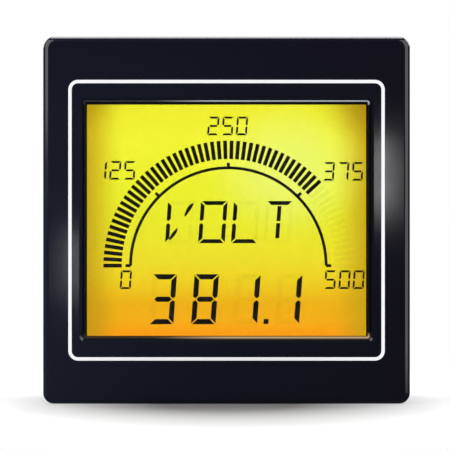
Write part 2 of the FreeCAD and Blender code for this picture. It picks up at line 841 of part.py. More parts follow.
def display_board():
    piece = Piece("display_pcb")
    back, side = display_board_back, display_board_side
    piece.pad("Y", display_board_front, back, rounded(0, 0, side, side, inner_corner))
    hole = board_screw_shank + screw_clearance + hole_gap
    piece.pocket("Y", display_board_front, back, *corner_discs(boss_x, boss_z, hole))
    chips = []
    for name, x, z, width, height in (
        ("display_controller", -0.9, 0.7, 1.0, 1.0),
        ("display_driver", 0.65, 0.75, 0.7, 0.7),
        ("display_crystal", 0.65, -0.25, 0.5, 0.3),
        ("display_memory", -0.95, -0.6, 0.5, 0.4),
    ):
        left, right = chip_side * (x - width / 2), chip_side * (x + width / 2)
        low, high = chip_side * (z - height / 2), chip_side * (z + height / 2)
        chips.append(box(name, left, right, back, back + chip_thick, low, high))
    group("display_chips", chips)
    screws = []
    for place, (right, up) in enumerate(CORNERS):
        piece = screw(f"display_screw_{place + 1}", board_screw_head, board_screw_height, board_screw_shank,
                      board_screw_length)
        screws.append(piece.put(boss_x * right, back, boss_z * up))
    group("display_screws", screws)


def screw(name, head, head_height, shank, length):
    """A pan-head screw with a crossed recess. Its seat is at zero, and its head stands towards +Y."""
    crown = head_height / 4
    piece = Piece(name)
    piece.turn("Y", polygon(
        (ZERO, -length),
        (shank / 2, -length),
        (shank, shank - length),
        (shank, ZERO),
        (head, ZERO),
        (head, head_height - crown),
        (head - crown, head_height),
        (ZERO, head_height),
    ))
    floor = head_height - driver_slot_depth
    for width, height in ((head * 1.3, driver_slot_width), (driver_slot_width, head * 1.3)):
        piece.pocket("Y", floor, head_height, centred(0, 0, width, height))
    return piece


def power_board():
    """The rear board: a square with its corners cut away for the posts of the case."""
    half = power_board_side / 2
    notch = post_inner - board_gap
    corners = []
    for right, up in CORNERS:
        step = [(half * right, notch * up), (notch * right, notch * up), (notch * right, half * up)]
        corners += step if right == up else step[::-1]
    piece = Piece("power_pcb")
    piece.pad("Y", power_board_front, power_board_back, polygon(*corners))
    link_holes = [centred(x, z, link_pin + hole_gap * 2, link_pin + hole_gap * 2) for x, z in link_places()]
    piece.pocket("Y", power_board_front, power_board_back, *link_holes)
    pin_hole = pin_side + hole_gap * 2
    pins = [centred(x, z, pin_hole, pin_hole) for block in BLOCKS for x, z in block.places()]
    piece.pocket("Y", power_board_front, power_board_back, *pins)


def board_link():
    """The pin strip that joins the two boards, and the socket that it enters."""
    back = display_board_back + link_socket_depth
    piece = Piece("link_socket")
    width, height = link_pitch * 6.2, link_pitch * 2.1
    piece.pad("Y", display_board_back, back, centred(0, link_height, width, height))
    hole = link_pin + hole_gap * 2
    holes = [centred(x, z, hole, hole) for x, z in link_places()]
    piece.pocket("Y", back - link_engagement - hole_gap, back, *holes)
    pins = []
    half = link_pin / 2
    end = power_board_back + pin_tail
    for place, (x, z) in enumerate(link_places()):
        start = back - link_engagement
        pins.append(box(f"link_pin_{place + 1}", x - half, x + half, start, end, z - half, z + half))
    group("link_pins", pins)


def transformer():
    """A ferrite core with two windows, and the coil round its middle leg."""
    back = power_board_front
    front = back - core_depth
    right, top = core_left + core_width, core_low + core_height
    middle = core_left + core_width / 2
    leg = core_centre_leg / 2
    core = Piece("transformer_core")
    core.pad("Z", core_low, top, rectangle(core_left, right, front, back))
    inner_front, inner_back = front + core_leg, back - core_leg
    core.pocket(
        "Z",
        core_low,
        top,
        rectangle(core_left + core_leg, middle - leg, inner_front, inner_back),
        rectangle(middle + leg, right - core_leg, inner_front, inner_back),
    )
    coil = Piece("transformer_coil")
    coil.pad(
        "Y",
        inner_front + coil_gap,
        inner_back - coil_gap,
        rectangle(core_left + core_leg + coil_gap, right - core_leg - coil_gap, core_low - coil_overhang,
                  top + coil_overhang),
        rectangle(middle - leg - coil_gap, middle + leg + coil_gap, core_low - coil_gap, top + coil_gap),
    )


def power_components():
    """The reservoir capacitors, the dropper resistors, the surge absorber and the output relays."""
    back = power_board_front
    cans = []
    for name, x, radius, height in (
        ("large_capacitor", large_can_x, large_can, large_can_height),
        ("small_capacitor", small_can_x, small_can, small_can_height),
    ):
        piece = Piece(name)
        neck = radius * 0.93
        piece.turn("Y", polygon(
            (ZERO, -height),
            (radius, -height),
            (radius, -(height * 0.16)),
            (neck, -(height * 0.13)),
            (radius, -(height * 0.10)),
            (radius, ZERO),
            (ZERO, ZERO),
        ))
        cans.append(piece.put(x, back, can_row))
    group("reservoir_capacitors", cans)
    resistors = []
    for place, offset in enumerate(spread(4, resistor_pitch)):
        name, z = f"resistor_{place + 1}", offset - resistor_pitch * 2
        y = back - resistor_lift
        left = resistor_x - resistor_length / 2
        body = rod(f"{name}_body", left, y, z, resistor_radius, resistor_length, ALONG_X)
        wire = rod(f"{name}_wire", resistor_x - lead_span / 2, y, z, lead_radius, lead_span, ALONG_X)
        legs = []
        leg = lead_radius * 1.15
        for side in (-1, 1):
            x = resistor_x + lead_span / 2 * side
            legs.append(rod(f"{name}_leg_{side + 2}", x, y - leg, z, leg, resistor_lift + leg, ALONG_Y))
        resistors.append(fused(name, body, wire, *legs))
    group("input_resistors", resistors)
    centre_y = back - varistor_radius - lead_radius
    coat = rod("varistor_disc", varistor_x, centre_y, varistor_z, varistor_radius, varistor_thick, ALONG_X)
    legs = []
    for side in (-1, 1):
        x, z = varistor_x + varistor_thick / 2, varistor_z + varistor_radius / 2 * side
        legs.append(rod(f"varistor_leg_{side + 2}", x, centre_y, z, lead_radius, back - centre_y, ALONG_Y))
    fused("input_varistor", coat, *legs)
    relays = []
    for place, offset in enumerate(spread(2, relay_pitch)):
        z = offset - relay_pitch
        left, right = relay_x - relay_width / 2, relay_x + relay_width / 2
        low, high = z - relay_height / 2, z + relay_height / 2
        relays.append(box(f"relay_{place + 1}", left, right, back - relay_depth, back, low, high))
    group("output_relays", relays)


# ---------------------------------------------------------------- the terminal blocks

class Block:
    """One pluggable terminal block. Its screws face up or down, as side says."""

    def __init__(self, name, ways, pitch, side, first):
        self.name = name
        self.ways = ways
        self.pitch = pitch
        self.side = side
        self.first = first
        self.row = terminal_height * side
        self.width = pitch * ways

    def level(self, height):
        """A height above the contacts, towards the screws."""
        return self.row + as_size(height) * self.side

    def places(self):
        return [(x, self.row) for x in spread(self.ways, self.pitch)]

    def header_width(self):
        return self.width + header_end_wall * 2

    def header_height(self):
        return header_inner + header_wall * 2


BLOCKS = [
    Block("upper", 4, narrow_pitch, 1, 1),
    Block("lower", 2, wide_pitch, -1, 5),
]


def header(block):
    """The fixed half of a terminal block, soldered to the power board."""
    piece = Piece(f"{block.name}_header")
    width, height = block.header_width(), block.header_height()
    piece.pad("Y", power_board_back, header_back, centred(0, block.row, width, height))
    inner_width = width - header_wall * 2
    piece.pocket("Y", header_floor_back, header_back, centred(0, block.row, inner_width, header_inner))
    hole = pin_side + hole_gap
    holes = [centred(x, z, hole, hole) for x, z in block.places()]
    piece.pocket("Y", power_board_back, header_floor_back, *holes)


def header_pins():
    pins = []
    half = pin_side / 2
    for block in BLOCKS:
        for place, (x, z) in enumerate(block.places()):
            name = f"{block.name}_pin_{place + 1}"
            start, end = power_board_front - pin_tail, header_back - pin_reach
            pins.append(box(name, x - half, x + half, start, end, z - half, z + half))
    group("header_pins", pins)


def plug(block):
    """The housing of the half that pulls out, with a chamber, a wire entry and a screw shaft for each way."""
    piece = Piece(f"{block.name}_plug")
    nose_front = header_floor_back + nose_gap
    nose_width = block.header_width() - header_wall * 2 - nose_gap * 2
    nose_height = header_inner - nose_gap * 2
    piece.pad("Y", nose_front, plug_front, centred(0, block.row, nose_width, nose_height))
    half = block.width / 2 + plug_end_wall
    low, high = block.level(-plug_low), block.level(plug_high)
    piece.pad("Y", plug_front, plug_back, rectangle(-half, half, low, high))
    piece.dress("Chamfer", plug_edge, lambda edge: near(edge.YMin, plug_back))
    chamber_front = chamber_y - cage_depth / 2 - cage_gap
    chamber_back = chamber_y + cage_depth / 2 + cage_gap
    floor, roof = block.level(-(cage_low + cage_gap)), block.level(cage_roof + cage_gap * 2)
    places = [x for x, z in block.places()]
    tunnel = socket_side / 2 + nose_gap
    piece.pocket("Y", nose_front, chamber_front, *[
        rectangle(x - tunnel, x + tunnel, block.row - tunnel, block.row + tunnel) for x in places
    ])
    chamber = cage_width / 2 + cage_gap
    piece.pocket("Y", chamber_front, chamber_back, *[
        rectangle(x - chamber, x + chamber, floor, roof) for x in places
    ])
    piece.pocket("Y", chamber_back, plug_back, *[
        rectangle(x - wire_width / 2, x + wire_width / 2, block.level(-wire_low), block.level(wire_high))
        for x in places
    ])
    seat = block.level(clamp_seat)
    shaft = [disc(x, chamber_y, clamp_shank + shaft_gap) for x in places]
    well = [disc(x, chamber_y, clamp_head + shaft_gap) for x in places]
    for stations, outlines in (((roof, seat), shaft), ((seat, high), well)):
        start, end = sorted(stations, key=lambda size: size.value)
        piece.pocket("Z", start, end, *outlines)


def contacts(block):
    """The springy sockets that grip the header's pins, each with a bar that reaches into its cage."""
    made = []
    front = header_floor_back + nose_gap + socket_setback
    end = header_back - pin_reach + socket_end
    bore_end = end - cage_wall
    for place, (x, z) in enumerate(block.places()):
        piece = Piece(f"{block.name}_contact_{place + 1}")
        piece.pad("Y", front, end, centred(x, z, socket_side, socket_side))
        low, high = block.level(bar_low), block.level(bar_low + bar_thick)
        bar = rectangle(x - bar_width / 2, x + bar_width / 2, low, high)
        piece.pad("Y", bore_end, chamber_y + cage_depth / 2 - cage_gap, bar)
        bore = pin_side + hole_gap * 2
        piece.pocket("Y", front, bore_end, centred(x, z, bore, bore))
        made.append(piece.body)
    group(f"{block.name}_plug_contacts", made)


def clamps(block):
    """A screw and a rising cage for each way. The cage is drawn open, farthest from the screw's head."""
    tip = bar_low + bar_thick + hole_gap
    length = clamp_seat - tip
    head_up = Rotation(Vector(1, 0, 0), 90 * block.side)
    for place, (x, z) in enumerate(block.places()):
        number = block.first + place
        turned = clamping_screw(f"terminal_screw_{number}", length)
        turned.put(x, chamber_y, block.level(clamp_seat), head_up)
        piece = Piece(f"terminal_cage_{number}")
        low, high = block.level(-cage_low), block.level(cage_height - cage_low)
        front, back = chamber_y - cage_depth / 2, chamber_y + cage_depth / 2
        piece.pad("Y", front, back, rectangle(x - cage_width / 2, x + cage_width / 2, low, high))
        inside = cage_width / 2 - cage_wall
        inner_low = block.level(cage_wall - cage_low)
        inner_high = block.level(cage_height - cage_low - cage_wall)
        piece.pocket("Y", front, back, rectangle(x - inside, x + inside, inner_low, inner_high))
        start, end = sorted((inner_high, high), key=lambda size: size.value)
        piece.pocket("Z", start, end, disc(x, chamber_y, clamp_shank + hole_gap))


def clamping_screw(name, length):
    """A slotted screw with a flat tip. Its seat is at zero, and its head stands towards +Y."""
    bevel = clamp_head_height / 6
    piece = Piece(name)
    piece.turn("Y", polygon(
        (ZERO, -length),
        (clamp_shank - bevel, -length),
        (clamp_shank, bevel - length),
        (clamp_shank, ZERO),
        (clamp_head, ZERO),
        (clamp_head, clamp_head_height - bevel),
        (clamp_head - bevel, clamp_head_height),
        (ZERO, clamp_head_height),
    ))
    floor = clamp_head_height - driver_slot_depth
    piece.pocket("Y", floor, clamp_head_height, centred(0, 0, clamp_head * 2, driver_slot_width))
    return piece


# ---------------------------------------------------------------- the case

def case_body():
    """The square tube behind the panel, with a tongue that snaps into the bezel's collar."""
    piece = Piece("case_body")
    outer = rounded(0, 0, case_side, case_side, case_corner)
    inner = rounded(0, 0, case_inner, case_inner, inner_corner)
    piece.pad("Y", collar_length, case_end, outer, inner)
    tongue = rounded(0, 0, tongue_outer, tongue_outer, inner_corner)
    bore = rounded(0, 0, tongue_inner, tongue_inner, inner_corner)
    piece.pad("Y", tongue_start, collar_length + tongue_root, tongue, bore)
    surface = tongue_outer / 2
    for side in (-1, 1):
        barb = polygon(
            (snap_front + slip, (surface - tongue_wall / 2) * side),
            (snap_front + slip, (surface + slip) * side),
            (snap_front + snap_length - slip, (surface + snap_height) * side),
            (snap_front + snap_length - slip, (surface - tongue_wall / 2) * side),
        )
        for across in (-1, 1):
            place = snap_offset * across
            piece.pad("X", place - snap_width / 2 + slip, place + snap_width / 2 - slip, barb)
    posts, holes = [], []
    for right, up in CORNERS:
        outside = case_inner / 2 + case_wall / 4
        posts.append(rectangle(post_inner * right, outside * right, post_inner * up, outside * up))
        holes.append(disc(cover_screw_place * right, cover_screw_place * up, cover_shank + screw_clearance))
    post_end = case_end - slip
    piece.pad("Y", case_end - post_length, post_end, *posts)
    piece.pocket("Y", case_end - cover_bore_depth, post_end, *holes)
    ribs = []
    for side in (-1, 1):
        wall, top = case_inner / 2 * side, (case_inner / 2 - seat_rib_height) * side
        for across in (-1, 1):
            place = seat_rib_offset * across
            ribs.append(rectangle(place - seat_rib_width / 2, place + seat_rib_width / 2, wall, top))
    piece.pad("Y", power_board_front - seat_rib_length, power_board_front, *ribs)
    rack_half, outside = rack_width / 2, case_half + slip
    recess = [rectangle(rack_face * side, outside * side, -rack_half, rack_half) for side in (-1, 1)]
    piece.pocket("Y", rack_start, case_end, *recess)
    first = rack_start + rack_margin
    notches = []
    for side in (-1, 1):
        notches.append(polygon(
            (rack_face * side, first),
            ((rack_face - tooth_depth) * side, first),
            (rack_face * side, first + tooth_pitch * 0.8),
        ))
    notch = piece.pocket("Z", -rack_half, rack_half, *notches)
    piece.repeat(notch, "Y", tooth_pitch, tooth_count)
    slot = rectangle(
        -(vent_pitch * (vent_count - 1) / 2) - vent_width / 2,
        -(vent_pitch * (vent_count - 1) / 2) + vent_width / 2,
        vent_start,
        vent_start + vent_length,
    )
    vent = piece.pocket("Z", -(case_half + slip), case_half + slip, slot)
    piece.repeat(vent, "X", vent_pitch, vent_count)


def key_places():
    """Where the three keys stand along X."""
    return [key_first + key_pitch * place for place in range(3)]


def rear_cover():
    piece = Piece("rear_cover")
    piece.pad("Y", case_end, cover_back, rounded(0, 0, case_side, case_side, case_corner))
    half, outside = post_inner - lip_gap, case_inner / 2 - slip
    inside = outside - lip_wall
    lips = []
    for side in (-1, 1):
        lips.append(rectangle(-half, half, inside * side, outside * side))
        lips.append(rectangle(inside * side, outside * side, -half, half))
    piece.pad("Y", case_end - lip_length, case_end, *lips)
    for block in BLOCKS:
        width, height = block.header_width() + cover_gap * 2, block.header_height() + cover_gap * 2
        piece.pocket("Y", case_end, cover_back, centred(0, block.row, width, height))
    place = cover_screw_place
    hole = cover_shank + screw_clearance + hole_gap
    piece.pocket("Y", case_end, cover_back, *corner_discs(place, place, hole))
    counterbore = cover_head + hole_gap * 2
    piece.pocket("Y", cover_back - cover_counterbore, cover_back, *corner_discs(place, place, counterbore))
    middle = key_first + key_pitch
    recess = rounded(middle, 0, key_recess_width, key_recess_height, key_recess_height / 3)
    piece.pocket("Y", cover_back - key_recess, cover_back, recess)
    piece.pocket("Y", case_end, cover_back, *[disc(x, 0, key_cap + key_gap) for x in key_places()])
    rack_half, outside = rack_width / 2, case_half + slip
    notch = [rectangle(rack_face * side, outside * side, -rack_half, rack_half) for side in (-1, 1)]
    piece.pocket("Y", case_end, cover_back, *notch)


def cover_screws():
    screws = []
    for place, (right, up) in enumerate(CORNERS):
        piece = screw(f"cover_screw_{place + 1}", cover_head, cover_head_height, cover_shank,
                      cover_screw_length)
        seat = cover_back - cover_counterbore
        screws.append(piece.put(cover_screw_place * right, seat, cover_screw_place * up))
    group("cover_screws", screws)


def keys():
    """Three keys with a flange inside the cover, each over a dome switch on the power board."""
    dome_top = power_board_back + switch_height + switch_dome_height
    flange_back = case_end - hole_gap * 2
    end = cover_back + key_proud
    switches = []
    for name, x in zip(("set_key", "up_key", "down_key"), key_places()):
        piece = Piece(name)
        piece.turn("Y", polygon(
            (ZERO, dome_top + key_free),
            (key_stem, dome_top + key_free),
            (key_stem, flange_back - key_flange_height),
            (key_flange, flange_back - key_flange_height),
            (key_flange, flange_back),
            (key_cap, flange_back),
            (key_cap, end - key_proud),
            (key_cap - key_proud, end),
            (ZERO, end),
        ))
        piece.put(x, 0, 0)
        half = switch_side / 2
        top = power_board_back + switch_height
        body = box(f"{name}_switch_body", x - half, x + half, power_board_back, top, -half, half)
        height = switch_dome_height + hole_gap
        dome = rod(f"{name}_switch_dome", x, top - hole_gap, 0, switch_dome, height, ALONG_Y)
        switches.append(fused(f"{name}_switch", body, dome))
    group("key_switches", switches)


def rating_label():
    right, back, half = label_left + label_width, cover_back + label_thick, label_height / 2
    box("rating_label", label_left, right, cover_back, back, -half, half)


# ---------------------------------------------------------------- the retaining frame

def retaining_frame():
    """The frame that slides up the case and presses on the back of the panel, with ears for the levers."""
    piece = Piece("retaining_frame")
    outer = rounded(0, 0, frame_side, frame_side, frame_corner)
    inner = rounded(0, 0, frame_inner, frame_inner, case_corner + frame_gap)
    piece.pad("Y", frame_front, frame_back, outer, inner)
    half = lever_width / 2 + lever_side_gap
    outside = frame_side / 2 + slip
    notches = [rectangle(case_half * side, outside * side, -half, half) for side in (-1, 1)]
    piece.pocket("Y", frame_back - frame_notch, frame_back, *notches)
    bores = [disc(lever_pivot_x * side, pivot_y, lever_pin + lever_pin_fit) for side in (-1, 1)]
    piece.pocket("Z", -ear_end, ear_end, *bores)
    grips = []
    first = -(grip_pitch * (grip_count - 1) / 2)
    surface = frame_side / 2
    for side in (-1, 1):
        grips.append(polygon(
            (first - grip_pitch / 4, (surface + slip) * side),
            (first, (surface - grip_depth) * side),
            (first + grip_pitch / 4, (surface + slip) * side),
        ))
    grip = piece.pocket("Y", frame_front + frame_depth / 4, frame_back, *grips)
    piece.repeat(grip, "X", grip_pitch, grip_count)


def release_levers():
    """A lever in each side of the frame. Its pawl stands over the ratchet, and lifting its tail frees it."""
    pins = []
    half = lever_width / 2
    for name, side in SIDES.items():
        piece = Piece(f"{name}_release_lever")
        tail_y = pivot_y + lever_length
        pawl_y = pivot_y + pawl_back
        tip = rack_face + pawl_clearance
        piece.pad("Z", -half, half, polygon(
            (lever_inner * side, pivot_y),
            (lever_outer * side, pivot_y),
            (lever_outer * side, tail_y - lever_tail_length),
            ((lever_outer + lever_tail) * side, tail_y),
            ((lever_inner + lever_tail) * side, tail_y),
            (lever_inner * side, tail_y - lever_tail_length),
            (lever_inner * side, pawl_y + pawl_length / 4),
            (tip * side, pawl_y),
            (lever_inner * side, pawl_y - pawl_length),
        ))
        piece.pad("Z", -half, half, disc(lever_pivot_x * side, pivot_y, lever_barrel))
        piece.pocket("Z", -half, half, disc(lever_pivot_x * side, pivot_y, lever_pin + screw_clearance))
        start = hole_gap - ear_end
        length = (ear_end - hole_gap) * 2
        pins.append(rod(f"{name}_lever_pin", lever_pivot_x * side, pivot_y, start, lever_pin, length))
    group("lever_pins", pins)


# ---------------------------------------------------------------- the whole meter

NODES = [
    "front_bezel", "border_inlay", "lens_tape", "window_lens", "panel_gasket",
    "lcd_front_polariser", "lcd_front_glass", "lcd_seal", "lcd_rear_glass", "lcd_rear_polariser",
    "zebra_strips", "backlight_diffuser", "light_guide", "backlight_leds", "lcd_holder",
    "display_pcb", "display_chips", "display_screws", "power_pcb", "link_socket", "link_pins",
    "transformer_core", "transformer_coil", "reservoir_capacitors", "input_resistors", "input_varistor",
    "output_relays", "case_body", "rear_cover", "cover_screws", "rating_label",
    "set_key", "up_key", "down_key", "key_switches",
    "header_pins", "upper_header", "lower_header", "upper_plug", "lower_plug",
    "upper_plug_contacts", "lower_plug_contacts",
    "retaining_frame", "left_release_lever", "right_release_lever", "lever_pins",
]
NODES += [f"terminal_screw_{number}" for number in range(1, 7)]
NODES += [f"terminal_cage_{number}" for number in range(1, 7)]


def build():
    front_bezel()
    border_inlay()
    window_parts()
    panel_gasket()
    liquid_crystal_cell()
    backlight()
    lcd_holder()
    display_board()
    power_board()
    board_link()
    transformer()
    power_components()
    case_body()
    rear_cover()
    cover_screws()
    keys()
    rating_label()
    header_pins()
    for block in BLOCKS:
        header(block)
        plug(block)
        contacts(block)
        clamps(block)
    retaining_frame()
    release_levers()
    doc.recompute()


def check_and_export():
    """Stops if any object failed, then writes each sub-part to its own file."""
    for item in doc.Objects:
        if "Invalid" in item.State or "Error" in item.State:
            raise RuntimeError(f"{item.Label} failed: {item.State}")
    shapes = {}
    for name in NODES:
        shape = doc.getObjectsByLabel(name)[0].Shape
        if shape.isNull() or not shape.isValid() or not shape.Solids:
            raise RuntimeError(f"{name} has no valid solid")
        shapes[name] = shape
    os.makedirs("parts", exist_ok=True)
    for name, shape in shapes.items():
        shape.exportStep(f"parts/{name}.step")
        print(f"{name}: {len(shape.Solids)} solids, {shape.Volume:.1f} mm3")


build()
check_and_export()
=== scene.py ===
# %% [markdown]
# # A square panel voltmeter
# The meter is a black plastic box that sits in a square hole of a panel, with a 72 mm square bezel in
# front and a backlit liquid-crystal display behind a clear window. Its shapes come from the CAD model,
# already at their real size. This script gives each one the finish of its real material, adds the marks
# that printing and the display put on them, and sets the light and the camera.

# %% Load the CAD model
import math

import bmesh
import bpy
from mathutils import Matrix, Vector


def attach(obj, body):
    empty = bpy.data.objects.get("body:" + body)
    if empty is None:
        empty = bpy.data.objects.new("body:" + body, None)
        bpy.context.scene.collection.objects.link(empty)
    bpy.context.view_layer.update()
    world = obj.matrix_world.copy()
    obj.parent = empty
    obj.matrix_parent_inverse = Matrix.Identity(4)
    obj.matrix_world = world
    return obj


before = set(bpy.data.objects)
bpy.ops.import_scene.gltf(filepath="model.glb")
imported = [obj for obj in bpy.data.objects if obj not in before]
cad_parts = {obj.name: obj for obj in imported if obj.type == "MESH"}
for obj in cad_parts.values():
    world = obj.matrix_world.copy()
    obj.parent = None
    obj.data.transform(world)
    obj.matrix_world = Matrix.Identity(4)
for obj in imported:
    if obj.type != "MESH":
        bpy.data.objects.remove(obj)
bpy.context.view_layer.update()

# %% [markdown]
# Blender counts in metres and shaders take linear colour, while drawings are in millimetres and colours
# are picked as sRGB hex codes. One constant and one function turn the one into the other, so that every
# later cell can use the numbers as a maker would write them.

# %% Millimetres and colours
MM = 0.001


def linear(code):
    """The linear colour for an sRGB hex code, as a shader takes it."""
    channels = [int(code[i:i + 2], 16) / 255 for i in (1, 3, 5)]
    return (*[c / 12.92 if c <= 0.04045 else ((c + 0.055) / 1.055) ** 2.4 for c in channels], 1.0)


print("Mid grey #808080 is", round(linear("#808080")[0], 3), "in linear light")

# %% [markdown]
# A finish is a small tree of nodes. It could be built by hand in the editor, but in a script it is
# clearer to add each node in one line that says what it is, how it is set and what feeds it. An input
# that is given another node's output is linked, and one that is given a number or colour is set.

# %% A node, and an empty finish
def add_node(owner, kind, settings=None, inputs=None):
    """Adds one node to a material or a world, with its own settings and its inputs."""
    tree = owner.node_tree
    node = tree.nodes.new(kind)
    for name, value in (settings or {}).items():
        setattr(node, name, value)
    for name, value in (inputs or {}).items():
        if isinstance(value, bpy.types.NodeSocket):
            tree.links.new(value, node.inputs[name])
        else:
            node.inputs[name].default_value = value
    return node


def start_finish(name):
    """An empty material with the Object coordinates that patterns read, and its main shader."""
    material = bpy.data.materials.new(name)
    material.use_nodes = True
    material.node_tree.nodes.clear()
    place = add_node(material, "ShaderNodeTexCoord").outputs["Object"]
    shader = add_node(material, "ShaderNodeBsdfPrincipled")
    add_node(material, "ShaderNodeOutputMaterial", inputs={"Surface": shader.outputs["BSDF"]})
    return material, place, shader


def feed(material, shader, **sources):
    """Links outputs to the shader's inputs, whose names are given with _ for a space."""
    for name, source in sources.items():
        material.node_tree.links.new(source, shader.inputs[name.replace("_", " ")])


# The Mix node keeps one set of sockets for each data type, so its colour sockets go by number.
FACTOR, FIRST, SECOND, MIXED = 0, 6, 7, 2
# The Wave texture multiplies its scale by this. Its stripes lie 2 pi, or 6.3, of the given lengths apart.
WAVE = 20

# %% [markdown]
# ## Camera
# A long lens far away shows the square bezel square, with hardly any of the sides. The camera stands
# straight in front of the display, level, at nine tenths of a metre.

# %% Camera
FACE_Y = -7.0 * MM
CAMERA_DISTANCE = 900.0 * MM
FRAME_WIDTH = 88.24 * MM
CAMERA_X, CAMERA_Z = -0.3 * MM, -0.94 * MM
SENSOR = 36.0

camera_data = bpy.data.cameras.new("camera")
camera_data.sensor_width = SENSOR
camera_data.lens = SENSOR * CAMERA_DISTANCE / FRAME_WIDTH
camera_data.clip_start = 0.01
camera = bpy.data.objects.new("camera", camera_data)
camera.location = (CAMERA_X, FACE_Y - CAMERA_DISTANCE, CAMERA_Z)
camera.rotation_euler = (math.pi / 2, 0, 0)
bpy.context.scene.collection.objects.link(camera)
bpy.context.scene.camera = camera
bpy.context.scene.view_settings.view_transform = "Standard"
print("Lens", round(camera_data.lens), "mm")

# %% [markdown]
# ## Floor
# The meter stands on a table. The table is one round sheet a little under the bezel's lower edge. Its
# own faint glow, which grows with the distance from the meter, stands for a table lit all over, so that
# its far edge melts into the white room. Near the meter the glow is left out, so the grey there is lit by
# the lamps alone: a painted shadow, on top of the lamps' own soft shadow. The painted shadow is short to
# the sides and long to the front and the back, so a distance to the side counts for more.

# %% Floor
TABLE_RADIUS = 190.0 * MM
TABLE_TOP = -36.05 * MM
SHADOW_REACH = 135.0 * MM
SHADOW_CORE = 0.4  # the share of the reach where the table has no glow
SIDEWAYS = 3.0  # how many times a distance to the side counts
TABLE_GLOW = 0.65

bm = bmesh.new()
bmesh.ops.create_circle(bm, cap_ends=True, segments=96, radius=TABLE_RADIUS)
bmesh.ops.translate(bm, verts=bm.verts, vec=(0, 0, TABLE_TOP))
table_mesh = bpy.data.meshes.new("table")
bm.to_mesh(table_mesh)
bm.free()
table = bpy.data.objects.new("table", table_mesh)
bpy.context.scene.collection.objects.link(table)
# The window and the glass under it would mirror the table and veil the display.
table.visible_glossy = False
table.visible_transmission = False

# Laminate: matt mid-grey with the faintest mottle. Its glow lifts it to white away from the meter.
laminate, place, shader = start_finish("table_laminate")
mottle = add_node(laminate, "ShaderNodeTexNoise", inputs={"Vector": place, "Scale": 1 / (30 * MM)})
tone = add_node(laminate, "ShaderNodeMix", {"data_type": "RGBA"}, {
    FACTOR: mottle.outputs["Fac"], FIRST: linear("#848484"), SECOND: linear("#898989")})
stretched = add_node(laminate, "ShaderNodeVectorMath", {"operation": "MULTIPLY"}, {
    0: place, 1: (SIDEWAYS, 1, 1)})
reach = add_node(laminate, "ShaderNodeVectorMath", {"operation": "LENGTH"}, {0: stretched.outputs["Vector"]})
glow = add_node(laminate, "ShaderNodeMapRange", inputs={
    "Value": reach.outputs["Value"], "From Min": SHADOW_CORE * SHADOW_REACH,
    "From Max": SHADOW_REACH, "To Max": TABLE_GLOW})
shader.inputs["Roughness"].default_value = 0.7
shader.inputs["Emission Color"].default_value = linear("#FFFFFF")
feed(laminate, shader, Base_Color=tone.outputs[MIXED], Emission_Strength=glow.outputs["Result"])
table_mesh.materials.append(laminate)
print("Table:", round(TABLE_RADIUS / MM), "mm in radius")

# %% [markdown]
# ## Light
# The display's window is a flat mirror that faces the camera, so the room behind the camera has to be
# dim, or its reflection would veil the display. The room is therefore white only where it is seen
# straight, and dim where it lights or is reflected. Big soft lamps to the sides, above and behind do
# the lighting, and two narrow lamps a quarter of a metre in front of the meter give the upright gleams
# beside the window.

# %% Room
world = bpy.data.worlds.new("room")
world.use_nodes = True
world.node_tree.nodes.clear()
bpy.context.scene.world = world
seen = add_node(world, "ShaderNodeBackground", inputs={"Color": linear("#FFFFFF"), "Strength": 1.0})
dim = add_node(world, "ShaderNodeBackground", inputs={"Color": linear("#FFFFFF"), "Strength": 0.03})
ray = add_node(world, "ShaderNodeLightPath")
room = add_node(world, "ShaderNodeMixShader", inputs={
    0: ray.outputs["Is Camera Ray"], 1: dim.outputs["Background"], 2: seen.outputs["Background"]})
add_node(world, "ShaderNodeOutputWorld", inputs={"Surface": room.outputs["Shader"]})
print("Room:", len(world.node_tree.nodes), "nodes")

# %% Lamps
# Each lamp has a place in millimetres, a width and height in millimetres, and its power in watts.
LAMPS = {
    "lamp_left": ((-420, -330, 330), (700, 700), 3.6),
    "lamp_right": ((430, -300, 260), (700, 700), 3.0),
    "lamp_above": ((0, 260, 560), (420, 300), 3.2),
    "lamp_behind_left": ((-380, 420, 240), (360, 360), 1.8),
    "lamp_behind_right": ((400, 400, 300), (360, 360), 2.0),
    "lamp_gleam_right": ((39.0, -257, 11), (2.0, 18), 0.0022),
    "lamp_gleam_left": ((-37.6, -257, -11), (1.6, 16), 0.00078),
}
AIM = Vector((0, 12 * MM, 0))

for name, (spot, (wide, high), power) in LAMPS.items():
    lamp_data = bpy.data.lights.new(name, "AREA")
    lamp_data.shape = "RECTANGLE"
    lamp_data.size, lamp_data.size_y = wide * MM, high * MM
    lamp_data.energy = power
    lamp = bpy.data.objects.new(name, lamp_data)
    lamp.location = Vector(spot) * MM
    lamp.rotation_euler = (AIM - lamp.location).to_track_quat("-Z", "Y").to_euler()
    lamp.visible_camera = False
    # The gleams belong on the bezel, not in the glass.
    lamp.visible_transmission = "gleam" not in name
    bpy.context.scene.collection.objects.link(lamp)
print("Lamps:", len(LAMPS))

# %% [markdown]
# ## Moulded plastics
# Most of the meter is injection-moulded. The mould's steel is roughened by sparks, so the plastic comes
# out with a fine matt grain, its tint drifts a little where the melt flowed, and a used part carries
# some pale dust. The grain is bump, as it is hundredths of a millimetre deep. All these plastics share
# one recipe and differ in colour, gloss and coarseness of grain. Grain finer than about a quarter of a
# millimetre is drawn at that size, because finer grain would not show.

# %% The recipe for a moulded plastic
FLOW_SIZE = 9 * MM
DUST_SIZE = 0.7 * MM


